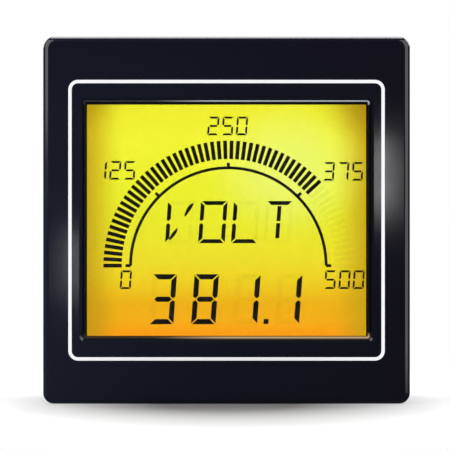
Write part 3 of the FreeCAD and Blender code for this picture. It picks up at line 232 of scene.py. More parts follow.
def moulded_plastic(name, deep, pale, roughness, grain=0.3, depth=0.006, dust=0.05, ior=1.54):
    """A spark-eroded plastic: deep and pale are its two tints, grain and depth are in millimetres."""
    material, place, shader = start_finish(name)
    flow = add_node(material, "ShaderNodeTexNoise", inputs={
        "Vector": place, "Scale": 1 / FLOW_SIZE, "Detail": 3.0, "Distortion": 0.6})
    erosion = add_node(material, "ShaderNodeTexNoise", inputs={
        "Vector": place, "Scale": 1 / (grain * MM), "Detail": 4.0, "Roughness": 0.65})
    specks = add_node(material, "ShaderNodeTexNoise", inputs={
        "Vector": place, "Scale": 1 / DUST_SIZE, "Detail": 2.0})
    tint = add_node(material, "ShaderNodeMix", {"data_type": "RGBA"}, {
        FACTOR: flow.outputs["Fac"], FIRST: linear(deep), SECOND: linear(pale)})
    speckled = add_node(material, "ShaderNodeMapRange", inputs={
        "Value": specks.outputs["Fac"], "From Min": 0.64, "From Max": 0.78, "To Max": dust})
    dusted = add_node(material, "ShaderNodeMix", {"data_type": "RGBA"}, {
        FACTOR: speckled.outputs["Result"], FIRST: tint.outputs[MIXED], SECOND: linear("#B8B4AC")})
    sheen = add_node(material, "ShaderNodeMapRange", inputs={
        "Value": erosion.outputs["Fac"], "From Min": 0.3, "From Max": 0.7,
        "To Min": roughness - 0.07, "To Max": roughness + 0.07})
    relief = add_node(material, "ShaderNodeBump", inputs={
        "Height": erosion.outputs["Fac"], "Strength": 1.0, "Distance": depth * MM})
    shader.inputs["IOR"].default_value = ior
    feed(material, shader, Base_Color=dusted.outputs[MIXED], Roughness=sheen.outputs["Result"],
         Normal=relief.outputs["Normal"])
    return material


# Black ABS for the case and its cover: matt, and lifted to charcoal by the grain.
case_abs = moulded_plastic("case_abs_moulded", "#1A1B1E", "#212226", 0.5, grain=0.45, depth=0.012, dust=0.1)
# Glass-filled nylon for the retaining frame and its levers: coarser and drier, as fibres reach the skin.
frame_nylon = moulded_plastic("frame_glass_nylon", "#1F2023", "#2A2B2E", 0.58,
                              grain=0.6, depth=0.02, dust=0.14)
# Grey ABS caps, a little polished by fingers.
key_abs = moulded_plastic("key_grey_abs", "#74777B", "#7E8185", 0.38, grain=0.3, depth=0.004, dust=0.05)
# Green polyamide for the terminal blocks: waxy, with a soft gleam.
terminal_nylon = moulded_plastic("terminal_polyamide", "#1E7A45", "#2A8C50", 0.42, grain=0.35, depth=0.006)
# Black nylon of the board connectors.
connector_nylon = moulded_plastic("connector_nylon", "#19191A", "#232324", 0.5, grain=0.3)
# White polycarbonate frame that holds the glass: satin, hardly any grain.
holder_polycarbonate = moulded_plastic("holder_polycarbonate", "#EDEDE8", "#F5F5F1", 0.35,
                                       grain=0.5, depth=0.002, dust=0.0, ior=1.585)
# Cream polyester of the relay cases.
relay_polyester = moulded_plastic("relay_polyester", "#E2D9C4", "#EFE8D6", 0.4, grain=0.4, depth=0.004)
# Epoxy that is transfer-moulded round the chips: dead matt black.
chip_epoxy = moulded_plastic("chip_moulded_epoxy", "#1B1B1D", "#242426", 0.62,
                             grain=0.25, depth=0.008, dust=0.0)
# Phenolic bodies of the small key switches.
switch_phenolic = moulded_plastic("switch_phenolic", "#202022", "#2A2A2C", 0.45, grain=0.3)
plastics = (case_abs, frame_nylon, key_abs, terminal_nylon, connector_nylon, holder_polycarbonate,
            relay_polyester, chip_epoxy, switch_phenolic)
print("Moulded plastics:", *[plastic.name for plastic in plastics])

# %% [markdown]
# ## The bezel
# The bezel is ABS too, moulded navy-black and semi-gloss, so that a lamp shows in it as a soft gleam. Its
# colour carries painted shading: it is lighter and bluer on the left, darker and brown-violet on the right
# and the top. Its outer corner is rubbed paler. A vertex-painted wear map would need a denser mesh, so the
# wear is worked out from how far a point lies from the centre, and broken up by noise.

# %% Bezel finish
HALF_FACE = 36.0 * MM
RUBBED_WIDTH = 0.9 * MM

bezel_abs, place, shader = start_finish("bezel_abs_moulded")
spot = add_node(bezel_abs, "ShaderNodeSeparateXYZ", inputs={"Vector": place})
# Painted shading: the face is lighter and bluer on the left, darker and brown-violet to the right and the
# top.
shade_across = add_node(bezel_abs, "ShaderNodeMapRange", inputs={
    "Value": spot.outputs["X"], "From Min": -HALF_FACE, "From Max": HALF_FACE})
sideways = add_node(bezel_abs, "ShaderNodeMix", {"data_type": "RGBA"}, {
    FACTOR: shade_across.outputs["Result"], FIRST: linear("#151A26"), SECOND: linear("#0F0E18")})
shade_upward = add_node(bezel_abs, "ShaderNodeMapRange", inputs={
    "Value": spot.outputs["Z"], "From Min": 20 * MM, "From Max": HALF_FACE, "To Max": 0.6})
painted_shade_tint = add_node(bezel_abs, "ShaderNodeMix", {"data_type": "RGBA"}, {
    FACTOR: shade_upward.outputs["Result"], FIRST: sideways.outputs[MIXED], SECOND: linear("#13111D")})
# The corner's wear starts a little inside the outline and is strongest at the outline.
side_x = add_node(bezel_abs, "ShaderNodeMath", {"operation": "ABSOLUTE"}, {0: spot.outputs["X"]})
side_z = add_node(bezel_abs, "ShaderNodeMath", {"operation": "ABSOLUTE"}, {0: spot.outputs["Z"]})
outermost = add_node(bezel_abs, "ShaderNodeMath", {"operation": "MAXIMUM"}, {
    0: side_x.outputs[0], 1: side_z.outputs[0]})
near_edge = add_node(bezel_abs, "ShaderNodeMapRange", inputs={
    "Value": outermost.outputs[0], "From Min": HALF_FACE - RUBBED_WIDTH, "From Max": HALF_FACE,
    "To Max": 0.7})
rubbing = add_node(bezel_abs, "ShaderNodeTexNoise", inputs={
    "Vector": place, "Scale": 1 / (2.5 * MM), "Detail": 4.0})
worn = add_node(bezel_abs, "ShaderNodeMath", {"operation": "MULTIPLY"}, {
    0: near_edge.outputs["Result"], 1: rubbing.outputs["Fac"]})
colour = add_node(bezel_abs, "ShaderNodeMix", {"data_type": "RGBA"}, {
    FACTOR: worn.outputs[0], FIRST: painted_shade_tint.outputs[MIXED], SECOND: linear("#30323A")})
# The mould is polished, which leaves an orange-peel half a millimetre wide and hardly any depth, and
# handling leaves broad smears in the gloss.
peel = add_node(bezel_abs, "ShaderNodeTexNoise", inputs={
    "Vector": place, "Scale": 1 / (0.5 * MM), "Detail": 2.0})
smears = add_node(bezel_abs, "ShaderNodeTexNoise", inputs={
    "Vector": place, "Scale": 1 / (11 * MM), "Detail": 6.0, "Distortion": 1.0})
gloss = add_node(bezel_abs, "ShaderNodeMapRange", inputs={
    "Value": smears.outputs["Fac"], "From Min": 0.3, "From Max": 0.7, "To Min": 0.085, "To Max": 0.115})
relief = add_node(bezel_abs, "ShaderNodeBump", inputs={
    "Height": peel.outputs["Fac"], "Strength": 1.0, "Distance": 0.0004 * MM})
shader.inputs["IOR"].default_value = 1.54
feed(bezel_abs, shader, Base_Color=colour.outputs[MIXED], Roughness=gloss.outputs["Result"],
     Normal=relief.outputs["Normal"])
print("Bezel finish:", len(bezel_abs.node_tree.nodes), "nodes")

# %% [markdown]
# The fine white line round the window is ink wiped into a groove of the bezel. It is matt, a neutral
# white and not quite even. The foam tape, the sponge gasket and the striped rubber are soft and dull.

# %% Ink, foam and rubber
inlay_ink, place, shader = start_finish("inlay_ink_wiped")
grain = add_node(inlay_ink, "ShaderNodeTexNoise", inputs={
    "Vector": place, "Scale": 1 / (0.5 * MM), "Detail": 4.0})
tone = add_node(inlay_ink, "ShaderNodeMix", {"data_type": "RGBA"}, {
    FACTOR: grain.outputs["Fac"], FIRST: linear("#F6F8FA"), SECOND: linear("#FFFFFF")})
relief = add_node(inlay_ink, "ShaderNodeBump", inputs={"Height": grain.outputs["Fac"], "Distance": 0.01 * MM})
shader.inputs["Roughness"].default_value = 0.6
feed(inlay_ink, shader, Base_Color=tone.outputs[MIXED], Normal=relief.outputs["Normal"])


def soft_rubber(name, deep, pale, pore, pore_depth, roughness):
    """Foam or rubber with rounded pores: pore and pore_depth are in millimetres."""
    material, place, shader = start_finish(name)
    pores = add_node(material, "ShaderNodeTexVoronoi", inputs={"Vector": place, "Scale": 1 / (pore * MM)})
    tone = add_node(material, "ShaderNodeMix", {"data_type": "RGBA"}, {
        FACTOR: pores.outputs["Distance"], FIRST: linear(pale), SECOND: linear(deep)})
    relief = add_node(material, "ShaderNodeBump", {"invert": True}, {
        "Height": pores.outputs["Distance"], "Distance": pore_depth * MM})
    shader.inputs["Roughness"].default_value = roughness
    shader.inputs["IOR"].default_value = 1.47
    feed(material, shader, Base_Color=tone.outputs[MIXED], Normal=relief.outputs["Normal"])
    return material


# Closed-cell foam tape under the window: soot black, with pin-hole pores.
tape_foam = soft_rubber("tape_acrylic_foam", "#0E0E0F", "#1A1A1C", 0.25, 0.02, 0.9)
# Closed-cell neoprene gasket: greyer, with pores of a third of a millimetre.
gasket_neoprene = soft_rubber("gasket_neoprene_sponge", "#1D1D1E", "#2D2D2E", 0.35, 0.05, 0.85)

# Layered silicone strips, which carry the contacts from the board to the glass. The carbon layers of a
# real strip are a tenth of a millimetre apart. Here they are broad stripes, 2.5 mm apart.
zebra_silicone, place, shader = start_finish("zebra_silicone_layered")
layers = add_node(zebra_silicone, "ShaderNodeTexWave", {"bands_direction": "X"}, {
    "Vector": place, "Scale": 1 / (WAVE * 0.4 * MM), "Distortion": 0.2})
tone = add_node(zebra_silicone, "ShaderNodeMix", {"data_type": "RGBA"}, {
    FACTOR: layers.outputs["Fac"], FIRST: linear("#2A1D1C"), SECOND: linear("#B4645A")})
shader.inputs["Roughness"].default_value = 0.6
shader.inputs["IOR"].default_value = 1.41
feed(zebra_silicone, shader, Base_Color=tone.outputs[MIXED])
print("Soft finishes:", inlay_ink.name, tape_foam.name, gasket_neoprene.name, zebra_silicone.name)

# %% [markdown]
# ## Window and glass
# The window is cast acrylic, and the display is two sheets of float glass with a hair of liquid crystal
# between them. All are clear, so they are made as real glass that bends and reflects light. Faint smears
# in the gloss keep the window from looking like an empty hole. The polarising film on the front is a
# thin grey veil, which alpha gives more cheaply than another refracting sheet.

# %% Clear sheets
SMEARED_TO = 16 * MM
CLEAN_FROM = 22 * MM


def clear_sheet(name, tint, ior, smear):
    """A clear, polished sheet. smear is the roughness that handling has left on it at most."""
    material, place, shader = start_finish(name)
    wipes = add_node(material, "ShaderNodeTexNoise", inputs={
        "Vector": place, "Scale": 1 / (14 * MM), "Detail": 5.0, "Distortion": 1.5})
    # The middle is what gets touched and wiped, so the smears fade out before the sides.
    spot = add_node(material, "ShaderNodeSeparateXYZ", inputs={"Vector": place})
    sideways = add_node(material, "ShaderNodeMath", {"operation": "ABSOLUTE"}, {0: spot.outputs["X"]})
    touched = add_node(material, "ShaderNodeMapRange", inputs={
        "Value": sideways.outputs[0], "From Min": SMEARED_TO, "From Max": CLEAN_FROM,
        "To Min": smear, "To Max": 0.0})
    haze = add_node(material, "ShaderNodeMapRange", inputs={
        "Value": wipes.outputs["Fac"], "From Min": 0.45, "From Max": 0.75,
        "To Max": touched.outputs["Result"]})
    shader.inputs["Base Color"].default_value = linear(tint)
    shader.inputs["IOR"].default_value = ior
    shader.inputs["Transmission Weight"].default_value = 1.0
    feed(material, shader, Roughness=haze.outputs["Result"])
    return material


# Cast acrylic: water-clear, very slightly cool.
lens_acrylic = clear_sheet("lens_cast_acrylic", "#FBFDFD", 1.49, 0.015)
# Float glass of the display: a trace of green.
display_glass = clear_sheet("display_float_glass", "#F9FCFA", 1.52, 0.01)

front_film, place, shader = start_finish("polariser_film_front")
lines = add_node(front_film, "ShaderNodeTexWave", {"bands_direction": "X"}, {
    "Vector": place, "Scale": 1 / (WAVE * 0.6 * MM), "Distortion": 1.0})
tone = add_node(front_film, "ShaderNodeMix", {"data_type": "RGBA"}, {
    FACTOR: lines.outputs["Fac"], FIRST: linear("#2E302C"), SECOND: linear("#35372F")})
shader.inputs["Alpha"].default_value = 0.04
shader.inputs["Roughness"].default_value = 0.35
shader.inputs["Specular IOR Level"].default_value = 0.0
feed(front_film, shader, Base_Color=tone.outputs[MIXED])
print("Clear finishes:", lens_acrylic.name, display_glass.name, front_film.name)

# %% [markdown]
# ## Backlight
# Lamps along the bottom edge feed a clear plate behind the display. Their phosphor is yellow with some
# orange, so the display glows lemon at the top and amber along the bottom, with a paler patch right of
# centre where the film lies closest, and ochre towards the edges, where less light reaches. The glow is
# painted as a ramp up the display, then a pale patch, then darker sides. The rear film, the diffuser and
# the light guide all carry this glow, so that each is right if it is seen alone.

# %% Backlit finish
# Heights are in millimetres from the centre of the display, with the colour of the glow there.
GLOW_RAMP = [(-24.0, "#F9920E"), (-22.0, "#F99A10"), (-19.5, "#F2A914"), (-16.5, "#EBAA12"),
             (-12.0, "#EDC91F"), (-8.0, "#ECD729"), (-3.0, "#E8DF2A"), (4.0, "#E8E62B"),
             (16.0, "#F1EC33"), (23.0, "#EDE42B")]
GLOW_LOW, GLOW_HIGH = -24.0, 24.0
SIDE_FALL_FROM, SIDE_FALL_TO = 20 * MM, 28.5 * MM
# Each patch has its centre, its reach both ways in millimetres, its colour and its strength.
PATCHES = [((12.0, 10.0), (17.0, 15.0), "#EAF070", 0.85), ((30.0, 26.0), (15.0, 13.0), "#A07808", 0.85),
           ((-30.0, 25.0), (12.0, 9.0), "#A98C0A", 0.7), ((-29.0, -22.0), (8.0, 14.0), "#C78A10", 0.5)]
PATCH_CORE = 0.15  # the share of its reach where a patch is at its strongest


def backlit_sheet(name, strength):
    """A sheet that glows from yellow to amber, with a paler patch and ochre edges."""
    material, place, shader = start_finish(name)
    spot = add_node(material, "ShaderNodeSeparateXYZ", inputs={"Vector": place})
    height = add_node(material, "ShaderNodeMapRange", inputs={
        "Value": spot.outputs["Z"], "From Min": GLOW_LOW * MM, "From Max": GLOW_HIGH * MM})
    glow = add_node(material, "ShaderNodeValToRGB", inputs={"Fac": height.outputs["Result"]})
    stops = glow.color_ramp.elements
    while len(stops) < len(GLOW_RAMP):
        stops.new(0.5)
    for stop, (z, code) in zip(stops, GLOW_RAMP):
        stop.position = (z - GLOW_LOW) / (GLOW_HIGH - GLOW_LOW)
        stop.color = linear(code)
    # The glow falls off to ochre over the last few millimetres at the left and the right.
    sideways = add_node(material, "ShaderNodeMath", {"operation": "ABSOLUTE"}, {0: spot.outputs["X"]})
    falling = add_node(material, "ShaderNodeMapRange", {"interpolation_type": "SMOOTHSTEP"}, {
        "Value": sideways.outputs[0], "From Min": SIDE_FALL_FROM, "From Max": SIDE_FALL_TO, "To Max": 0.9})
    ochre = add_node(material, "ShaderNodeMix", {"data_type": "RGBA"}, {
        FACTOR: falling.outputs["Result"], FIRST: glow.outputs["Color"], SECOND: linear("#C49A10")})
    glowing = ochre.outputs[MIXED]
    for (x, z), (reach_x, reach_z), code, share in PATCHES:
        centred = add_node(material, "ShaderNodeMapping", {"vector_type": "TEXTURE"}, {
            "Vector": place, "Location": (x * MM, 0, z * MM), "Scale": (reach_x * MM, 1.0, reach_z * MM)})
        away = add_node(material, "ShaderNodeVectorMath", {"operation": "LENGTH"}, {0: centred.outputs[0]})
        share_here = add_node(material, "ShaderNodeMapRange", {"interpolation_type": "SMOOTHSTEP"}, {
            "Value": away.outputs["Value"], "From Min": PATCH_CORE, "From Max": 1.0,
            "To Min": share, "To Max": 0.0})
        patch = add_node(material, "ShaderNodeMix", {"data_type": "RGBA"}, {
            FACTOR: share_here.outputs["Result"], FIRST: glowing, SECOND: linear(code)})
        glowing = patch.outputs[MIXED]
    # The film's scattering dots shimmer a little. They are drawn about half a millimetre wide.
    dots = add_node(material, "ShaderNodeTexNoise", inputs={
        "Vector": place, "Scale": 1 / (0.5 * MM), "Detail": 2.0})
    level = add_node(material, "ShaderNodeMapRange", inputs={
        "Value": dots.outputs["Fac"], "From Min": 0.3, "From Max": 0.7,
        "To Min": 0.97 * strength, "To Max": 1.03 * strength})
    # Glue of the glass's own index joins the sheets, so they have no gloss of their own.
    shader.inputs["Specular IOR Level"].default_value = 0.0
    shader.inputs["Roughness"].default_value = 0.45
    shader.inputs["Base Color"].default_value = linear("#4A4520")
    feed(material, shader, Emission_Color=glowing, Emission_Strength=level.outputs["Result"])
    return material


rear_film = backlit_sheet("polariser_film_rear_lit", 1.42)
diffuser_film = backlit_sheet("diffuser_film_lit", 1.42)
guide_acrylic = backlit_sheet("light_guide_acrylic_lit", 0.6)

lamp_resin, place, shader = start_finish("lamp_phosphor_resin")
phosphor = add_node(lamp_resin, "ShaderNodeTexNoise", inputs={"Vector": place, "Scale": 1 / (0.3 * MM)})
tone = add_node(lamp_resin, "ShaderNodeMix", {"data_type": "RGBA"}, {
    FACTOR: phosphor.outputs["Fac"], FIRST: linear("#F3A826"), SECOND: linear("#FFD35A")})
shader.inputs["Emission Strength"].default_value = 1.5
shader.inputs["Roughness"].default_value = 0.3
feed(lamp_resin, shader, Base_Color=tone.outputs[MIXED], Emission_Color=tone.outputs[MIXED])

# The seal is a printed ring of epoxy between the glasses: milky, slightly yellowed.
seal_epoxy, place, shader = start_finish("seal_cured_epoxy")
cure = add_node(seal_epoxy, "ShaderNodeTexNoise", inputs={
    "Vector": place, "Scale": 1 / (1.0 * MM), "Detail": 3.0})
tone = add_node(seal_epoxy, "ShaderNodeMix", {"data_type": "RGBA"}, {
    FACTOR: cure.outputs["Fac"], FIRST: linear("#B9B49C"), SECOND: linear("#CFCBB8")})
shader.inputs["Roughness"].default_value = 0.4
feed(seal_epoxy, shader, Base_Color=tone.outputs[MIXED])
print("Glow ramp:", len(GLOW_RAMP), "stops")

# %% [markdown]
# ## Metals
# The screws are steel under a thin coat of zinc or nickel, and the contacts are brass under tin or gold.
# A coat follows the metal's drawn or turned surface, so its gloss runs in faint streaks and its colour
# clouds a little. A metal takes its look from its colour and roughness, and keeps the default IOR.

# %% Plated metals
def plated_metal(name, deep, pale, roughness, streak):
    """A plated metal. Its gloss clouds and streaks at the scale of streak, in millimetres."""
    material, place, shader = start_finish(name)
    clouds = add_node(material, "ShaderNodeTexNoise", inputs={
        "Vector": place, "Scale": 1 / (6 * streak * MM), "Detail": 3.0})
    streaks = add_node(material, "ShaderNodeTexNoise", inputs={
        "Vector": place, "Scale": 1 / (streak * MM), "Detail": 5.0, "Roughness": 0.7})
    tone = add_node(material, "ShaderNodeMix", {"data_type": "RGBA"}, {
        FACTOR: clouds.outputs["Fac"], FIRST: linear(deep), SECOND: linear(pale)})
    gloss = add_node(material, "ShaderNodeMapRange", inputs={
        "Value": streaks.outputs["Fac"], "From Min": 0.3, "From Max": 0.7,
        "To Min": roughness - 0.1, "To Max": roughness + 0.1})
    relief = add_node(material, "ShaderNodeBump", inputs={
        "Height": streaks.outputs["Fac"], "Distance": 0.004 * MM})
    shader.inputs["Metallic"].default_value = 1.0
    feed(material, shader, Base_Color=tone.outputs[MIXED], Roughness=gloss.outputs["Result"],
         Normal=relief.outputs["Normal"])
    return material


# Blue-passivated zinc: cool silver with a satin gloss.
zinc_steel = plated_metal("steel_zinc_plated", "#AEB2B8", "#C9CCD0", 0.36, 0.3)
# Nickel: warmer and brighter than zinc.
nickel_steel = plated_metal("steel_nickel_plated", "#B9B4A8", "#D6D1C6", 0.28, 0.25)
# Tinned and gold-flashed brass of the contacts.
contact_brass = plated_metal("brass_gold_flashed", "#C9A95A", "#E0C987", 0.25, 0.25)

# Ground ferrite of the transformer core: a dark ceramic with a metallic grey sheen and broad grinding marks.
ferrite, place, shader = start_finish("ferrite_ground")
lines = add_node(ferrite, "ShaderNodeTexWave", {"bands_direction": "Z"}, {
    "Vector": place, "Scale": 1 / (WAVE * 0.5 * MM), "Distortion": 2.0, "Detail": 3.0})
tone = add_node(ferrite, "ShaderNodeMix", {"data_type": "RGBA"}, {
    FACTOR: lines.outputs["Fac"], FIRST: linear("#2B2B2E"), SECOND: linear("#3B3B3F")})
relief = add_node(ferrite, "ShaderNodeBump", inputs={"Height": lines.outputs["Fac"], "Distance": 0.004 * MM})
shader.inputs["Roughness"].default_value = 0.45
shader.inputs["IOR"].default_value = 2.0
feed(ferrite, shader, Base_Color=tone.outputs[MIXED], Normal=relief.outputs["Normal"])
print("Metals:", zinc_steel.name, nickel_steel.name, contact_brass.name, ferrite.name)

# %% [markdown]
# ## Boards and components
# Behind the cover are parts that only show when the model is taken apart, but each gets its own finish.
# Dipped and wrapped coatings are glossy skins over something else, so they share one recipe: a tint that
# drifts slowly along the part, and a coat on top.

# %% Coated components
def coated_component(name, deep, pale, roughness, drift, axis):
    """A wrapped or dipped part. Its tint drifts along one axis, and repeats every 6.3 drifts, in mm."""
    material, place, shader = start_finish(name)
    bands = add_node(material, "ShaderNodeTexWave", {"bands_direction": axis}, {
        "Vector": place, "Scale": 1 / (WAVE * drift * MM), "Distortion": 0.6, "Detail": 2.0})
    tone = add_node(material, "ShaderNodeMix", {"data_type": "RGBA"}, {
        FACTOR: bands.outputs["Fac"], FIRST: linear(deep), SECOND: linear(pale)})
    relief = add_node(material, "ShaderNodeBump", inputs={
        "Height": bands.outputs["Fac"], "Distance": 0.02 * MM})
    shader.inputs["Roughness"].default_value = roughness
    shader.inputs["Coat Weight"].default_value = 0.4
    shader.inputs["Coat Roughness"].default_value = 0.15
    feed(material, shader, Base_Color=tone.outputs[MIXED], Normal=relief.outputs["Normal"])
    return material


# Yellow polyester tape wound round the coil.
coil_tape = coated_component("coil_polyester_tape", "#D9A520", "#EFC23A", 0.3, 3.0, "Z")
# Shrunk sleeve of the capacitors: deep blue-black, tight over the can.
can_sleeve = coated_component("can_shrunk_sleeve", "#141A33", "#1D2546", 0.28, 5.0, "Y")
# Lacquered resistors: a blue and a pale tint that blend, without separate colour bands.
resistor_lacquer = coated_component("resistor_lacquer", "#4A6F95", "#A9B7C0", 0.35, 1.4, "X")
# Dipped epoxy of the surge absorber: thick glossy blue.
varistor_epoxy = coated_component("varistor_dipped_epoxy", "#143F96", "#1C52B4", 0.2, 4.0, "Z")

# Solder resist on glass-fibre board. The woven glass shows as a faint grid of 0.6 mm, and copper beneath
# the green as wavering paler bands about 16 mm apart, which are far coarser than real tracks.
board_resist, place, shader = start_finish("board_solder_resist")
weave = add_node(board_resist, "ShaderNodeTexBrick", inputs={
    "Vector": place, "Scale": 1 / (0.6 * MM), "Mortar Size": 0.12, "Brick Width": 1.0, "Row Height": 1.0,
    "Color1": linear("#0F5A2C"), "Color2": linear("#116331"), "Mortar": linear("#0C4A24")})
tracks = add_node(board_resist, "ShaderNodeTexWave", {"bands_direction": "X"}, {
    "Vector": place, "Scale": 1 / (WAVE * 2.54 * MM), "Distortion": 3.0, "Detail Scale": 1.0})
copper = add_node(board_resist, "ShaderNodeMapRange", inputs={
    "Value": tracks.outputs["Fac"], "From Min": 0.7, "From Max": 0.8, "To Max": 0.6})
tone = add_node(board_resist, "ShaderNodeMix", {"data_type": "RGBA"}, {
    FACTOR: copper.outputs["Result"], FIRST: weave.outputs["Color"], SECOND: linear("#2C8B4A")})
relief = add_node(board_resist, "ShaderNodeBump", inputs={
    "Height": copper.outputs["Result"], "Distance": 0.03 * MM})
shader.inputs["Roughness"].default_value = 0.3
feed(board_resist, shader, Base_Color=tone.outputs[MIXED], Normal=relief.outputs["Normal"])

# The label is silver-grey polyester with a fine brushed grain along its length.
label_polyester, place, shader = start_finish("label_brushed_polyester")
stretched = add_node(label_polyester, "ShaderNodeMapping", inputs={
    "Vector": place, "Scale": (0.04, 1.0, 1.0)})
brushing = add_node(label_polyester, "ShaderNodeTexNoise", inputs={
    "Vector": stretched.outputs["Vector"], "Scale": 1 / (0.25 * MM), "Detail": 4.0})
tone = add_node(label_polyester, "ShaderNodeMix", {"data_type": "RGBA"}, {
    FACTOR: brushing.outputs["Fac"], FIRST: linear("#C3C5C8"), SECOND: linear("#DADCDE")})
shader.inputs["Roughness"].default_value = 0.32
shader.inputs["Metallic"].default_value = 0.35
feed(label_polyester, shader, Base_Color=tone.outputs[MIXED])
print("Coated parts:", coil_tape.name, can_sleeve.name, resistor_lacquer.name, varistor_epoxy.name)
print("Sheets:", board_resist.name, label_polyester.name)

# %% [markdown]
# ## Each node gets its finish
# A CAD node keeps its shape and its place. Only the material in its slots changes. The table below says
# which finish each node takes, and the loop stops if a node is left out, so none stays plain.

# %% Finishes of the CAD nodes
FINISHES = {
    bezel_abs: ["front_bezel"],
    inlay_ink: ["border_inlay"],
    tape_foam: ["lens_tape"],
    lens_acrylic: ["window_lens"],
    gasket_neoprene: ["panel_gasket"],
    front_film: ["lcd_front_polariser"],
    display_glass: ["lcd_front_glass", "lcd_rear_glass"],
    rear_film: ["lcd_rear_polariser"],
    seal_epoxy: ["lcd_seal"],
    zebra_silicone: ["zebra_strips"],
    diffuser_film: ["backlight_diffuser"],
    guide_acrylic: ["light_guide"],
    lamp_resin: ["backlight_leds"],
    holder_polycarbonate: ["lcd_holder"],
    board_resist: ["display_pcb", "power_pcb"],
    chip_epoxy: ["display_chips"],
    zinc_steel: ["display_screws", "cover_screws", "lever_pins"],
    connector_nylon: ["link_socket"],
    contact_brass: ["link_pins", "header_pins", "upper_plug_contacts", "lower_plug_contacts"],
    ferrite: ["transformer_core"],
    coil_tape: ["transformer_coil"],
    can_sleeve: ["reservoir_capacitors"],
    resistor_lacquer: ["input_resistors"],
    varistor_epoxy: ["input_varistor"],
    relay_polyester: ["output_relays"],
    case_abs: ["case_body", "rear_cover"],
    label_polyester: ["rating_label"],
    key_abs: ["set_key", "up_key", "down_key"],
    switch_phenolic: ["key_switches"],
    terminal_nylon: ["upper_header", "lower_header", "upper_plug", "lower_plug"],
    nickel_steel: [f"terminal_{part}_{n}" for n in range(1, 7) for part in ("screw", "cage")],
    frame_nylon: ["retaining_frame", "left_release_lever", "right_release_lever"],
}
finished_nodes = set()
for finish, names in FINISHES.items():
    for name in names:
        for place_for_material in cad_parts[name].material_slots:
            place_for_material.material = finish
        finished_nodes.add(name)
left_out = set(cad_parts) - finished_nodes
assert not left_out, f"no finish for {sorted(left_out)}"
print("Nodes with a finish:", len(finished_nodes))

# %% [markdown]
# ## The display's figures
# A liquid-crystal figure is not lit. It is a spot that turned dark in front of the glow, a few
# thousandths of a millimetre thick and as crisp as its etched electrode. Drawn in a texture it would
# blur close up and lose the depth between it and the glow, so each bar is real geometry between the two
# glasses: flat outlines first, all thickened together by one extrusion.

# %% The shape of one character
SLANT = math.tan(math.radians(4.2))
FIGURE_FRONT = -2.88 * MM
FIGURE_BACK = -2.82 * MM
SCALE_CENTRE = Vector((0.36, -8.94))


def mirrored(outline):
    """The outline upside down."""
    return [(x, -z) for x, z in outline]


def character_bars(wide, high, stroke, gap):
    """Outlines in millimetres of the bars of one character, about its centre, each under one letter."""
    w, h, t, g = wide / 2, high / 2, stroke, gap
    top = [(-w + g, h), (w - g, h), (w - t - g, h - t), (-w + t + g, h - t)]
    upright = [(w, h - g), (w - t, h - t - g), (w - t, t / 2 + g), (w - t / 2, g), (w, t / 3 + g)]
    other_upright = [(-x, z) for x, z in upright]
    middle = [(-w + t / 2 + g, 0), (-w + t + g, t / 2), (w - t - g, t / 2),
              (w - t / 2 - g, 0), (w - t - g, -t / 2), (-w + t + g, -t / 2)]
    stem = [(-t / 2, h - t - g), (t / 2, h - t - g), (t / 2, g), (-t / 2, g)]
    rising = [(0.31 * w, 0.26 * h), (0.31 * w, 0.4 * h), (0.51 * w, 0.72 * h), (0.68 * w, 0.84 * h),
              (0.93 * w, 0.92 * h), (0.91 * w, 0.8 * h), (0.76 * w, 0.62 * h), (0.47 * w, 0.32 * h)]
    falling = [(-0.14 * w, -0.24 * h), (-0.14 * w, -0.43 * h), (-0.28 * w, -0.61 * h), (-0.5 * w, -0.78 * h),
               (-0.7 * w, -0.88 * h), (-0.72 * w, -0.76 * h), (-0.5 * w, -0.5 * h), (-0.27 * w, -0.34 * h)]
    return {"a": top, "b": upright, "c": mirrored(upright), "d": mirrored(top), "e": mirrored(other_upright),
            "f": other_upright, "g": middle, "i": stem, "j": mirrored(stem), "k": rising, "l": falling}


# The bars that are dark in each character.
DARK_BARS = {"0": "abcdef", "1": "bc", "2": "abged", "3": "abgcd", "5": "afgcd", "7": "abc", "8": "abcdefg",
             "V": "fekl", "O": "abcdef", "L": "fed", "T": "aij"}
print("Bars of a character:", len(character_bars(4.73, 9.77, 0.92, 0.12)))

# %% Helpers for flat shapes
def lay_outline(bm, outline, centre, y, lean=0.0):
    """One flat face from an outline in millimetres about a centre, at depth y, leaning to the right."""
    corners = [bm.verts.new(((centre[0] + x + z * lean) * MM, y, (centre[1] + z) * MM)) for x, z in outline]
    bm.faces.new(corners)


def thicken(bm, depth):
    """Gives every flat face of a bmesh a thickness along Y, and reports the edges left open."""
    grown = bmesh.ops.extrude_face_region(bm, geom=bm.faces[:])["geom"]
    raised = [part for part in grown if isinstance(part, bmesh.types.BMVert)]
    bmesh.ops.translate(bm, verts=raised, vec=(0, depth, 0))
    return sum(edge.is_boundary for edge in bm.edges)


def add_piece(name, bm, material):
    """Turns a bmesh into a finished object of the meter's body."""
    bmesh.ops.recalc_face_normals(bm, faces=bm.faces[:])
    mesh = bpy.data.meshes.new(name)
    bm.to_mesh(mesh)
    bm.free()
    mesh.materials.append(material)
    piece = bpy.data.objects.new(name, mesh)
    bpy.context.scene.collection.objects.link(piece)
    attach(piece, "meter")
    print(name, "has", len(mesh.polygons), "faces")


# %% [markdown]
# The reading and its scale are laid out about the centre of the round scale. The scale is a thin half
# circle with ticks, and sixty bars fan out round it, of which the first forty-six are dark. A spin makes
# both: it turns an edge into the half circle, and copies one bar round the fan.

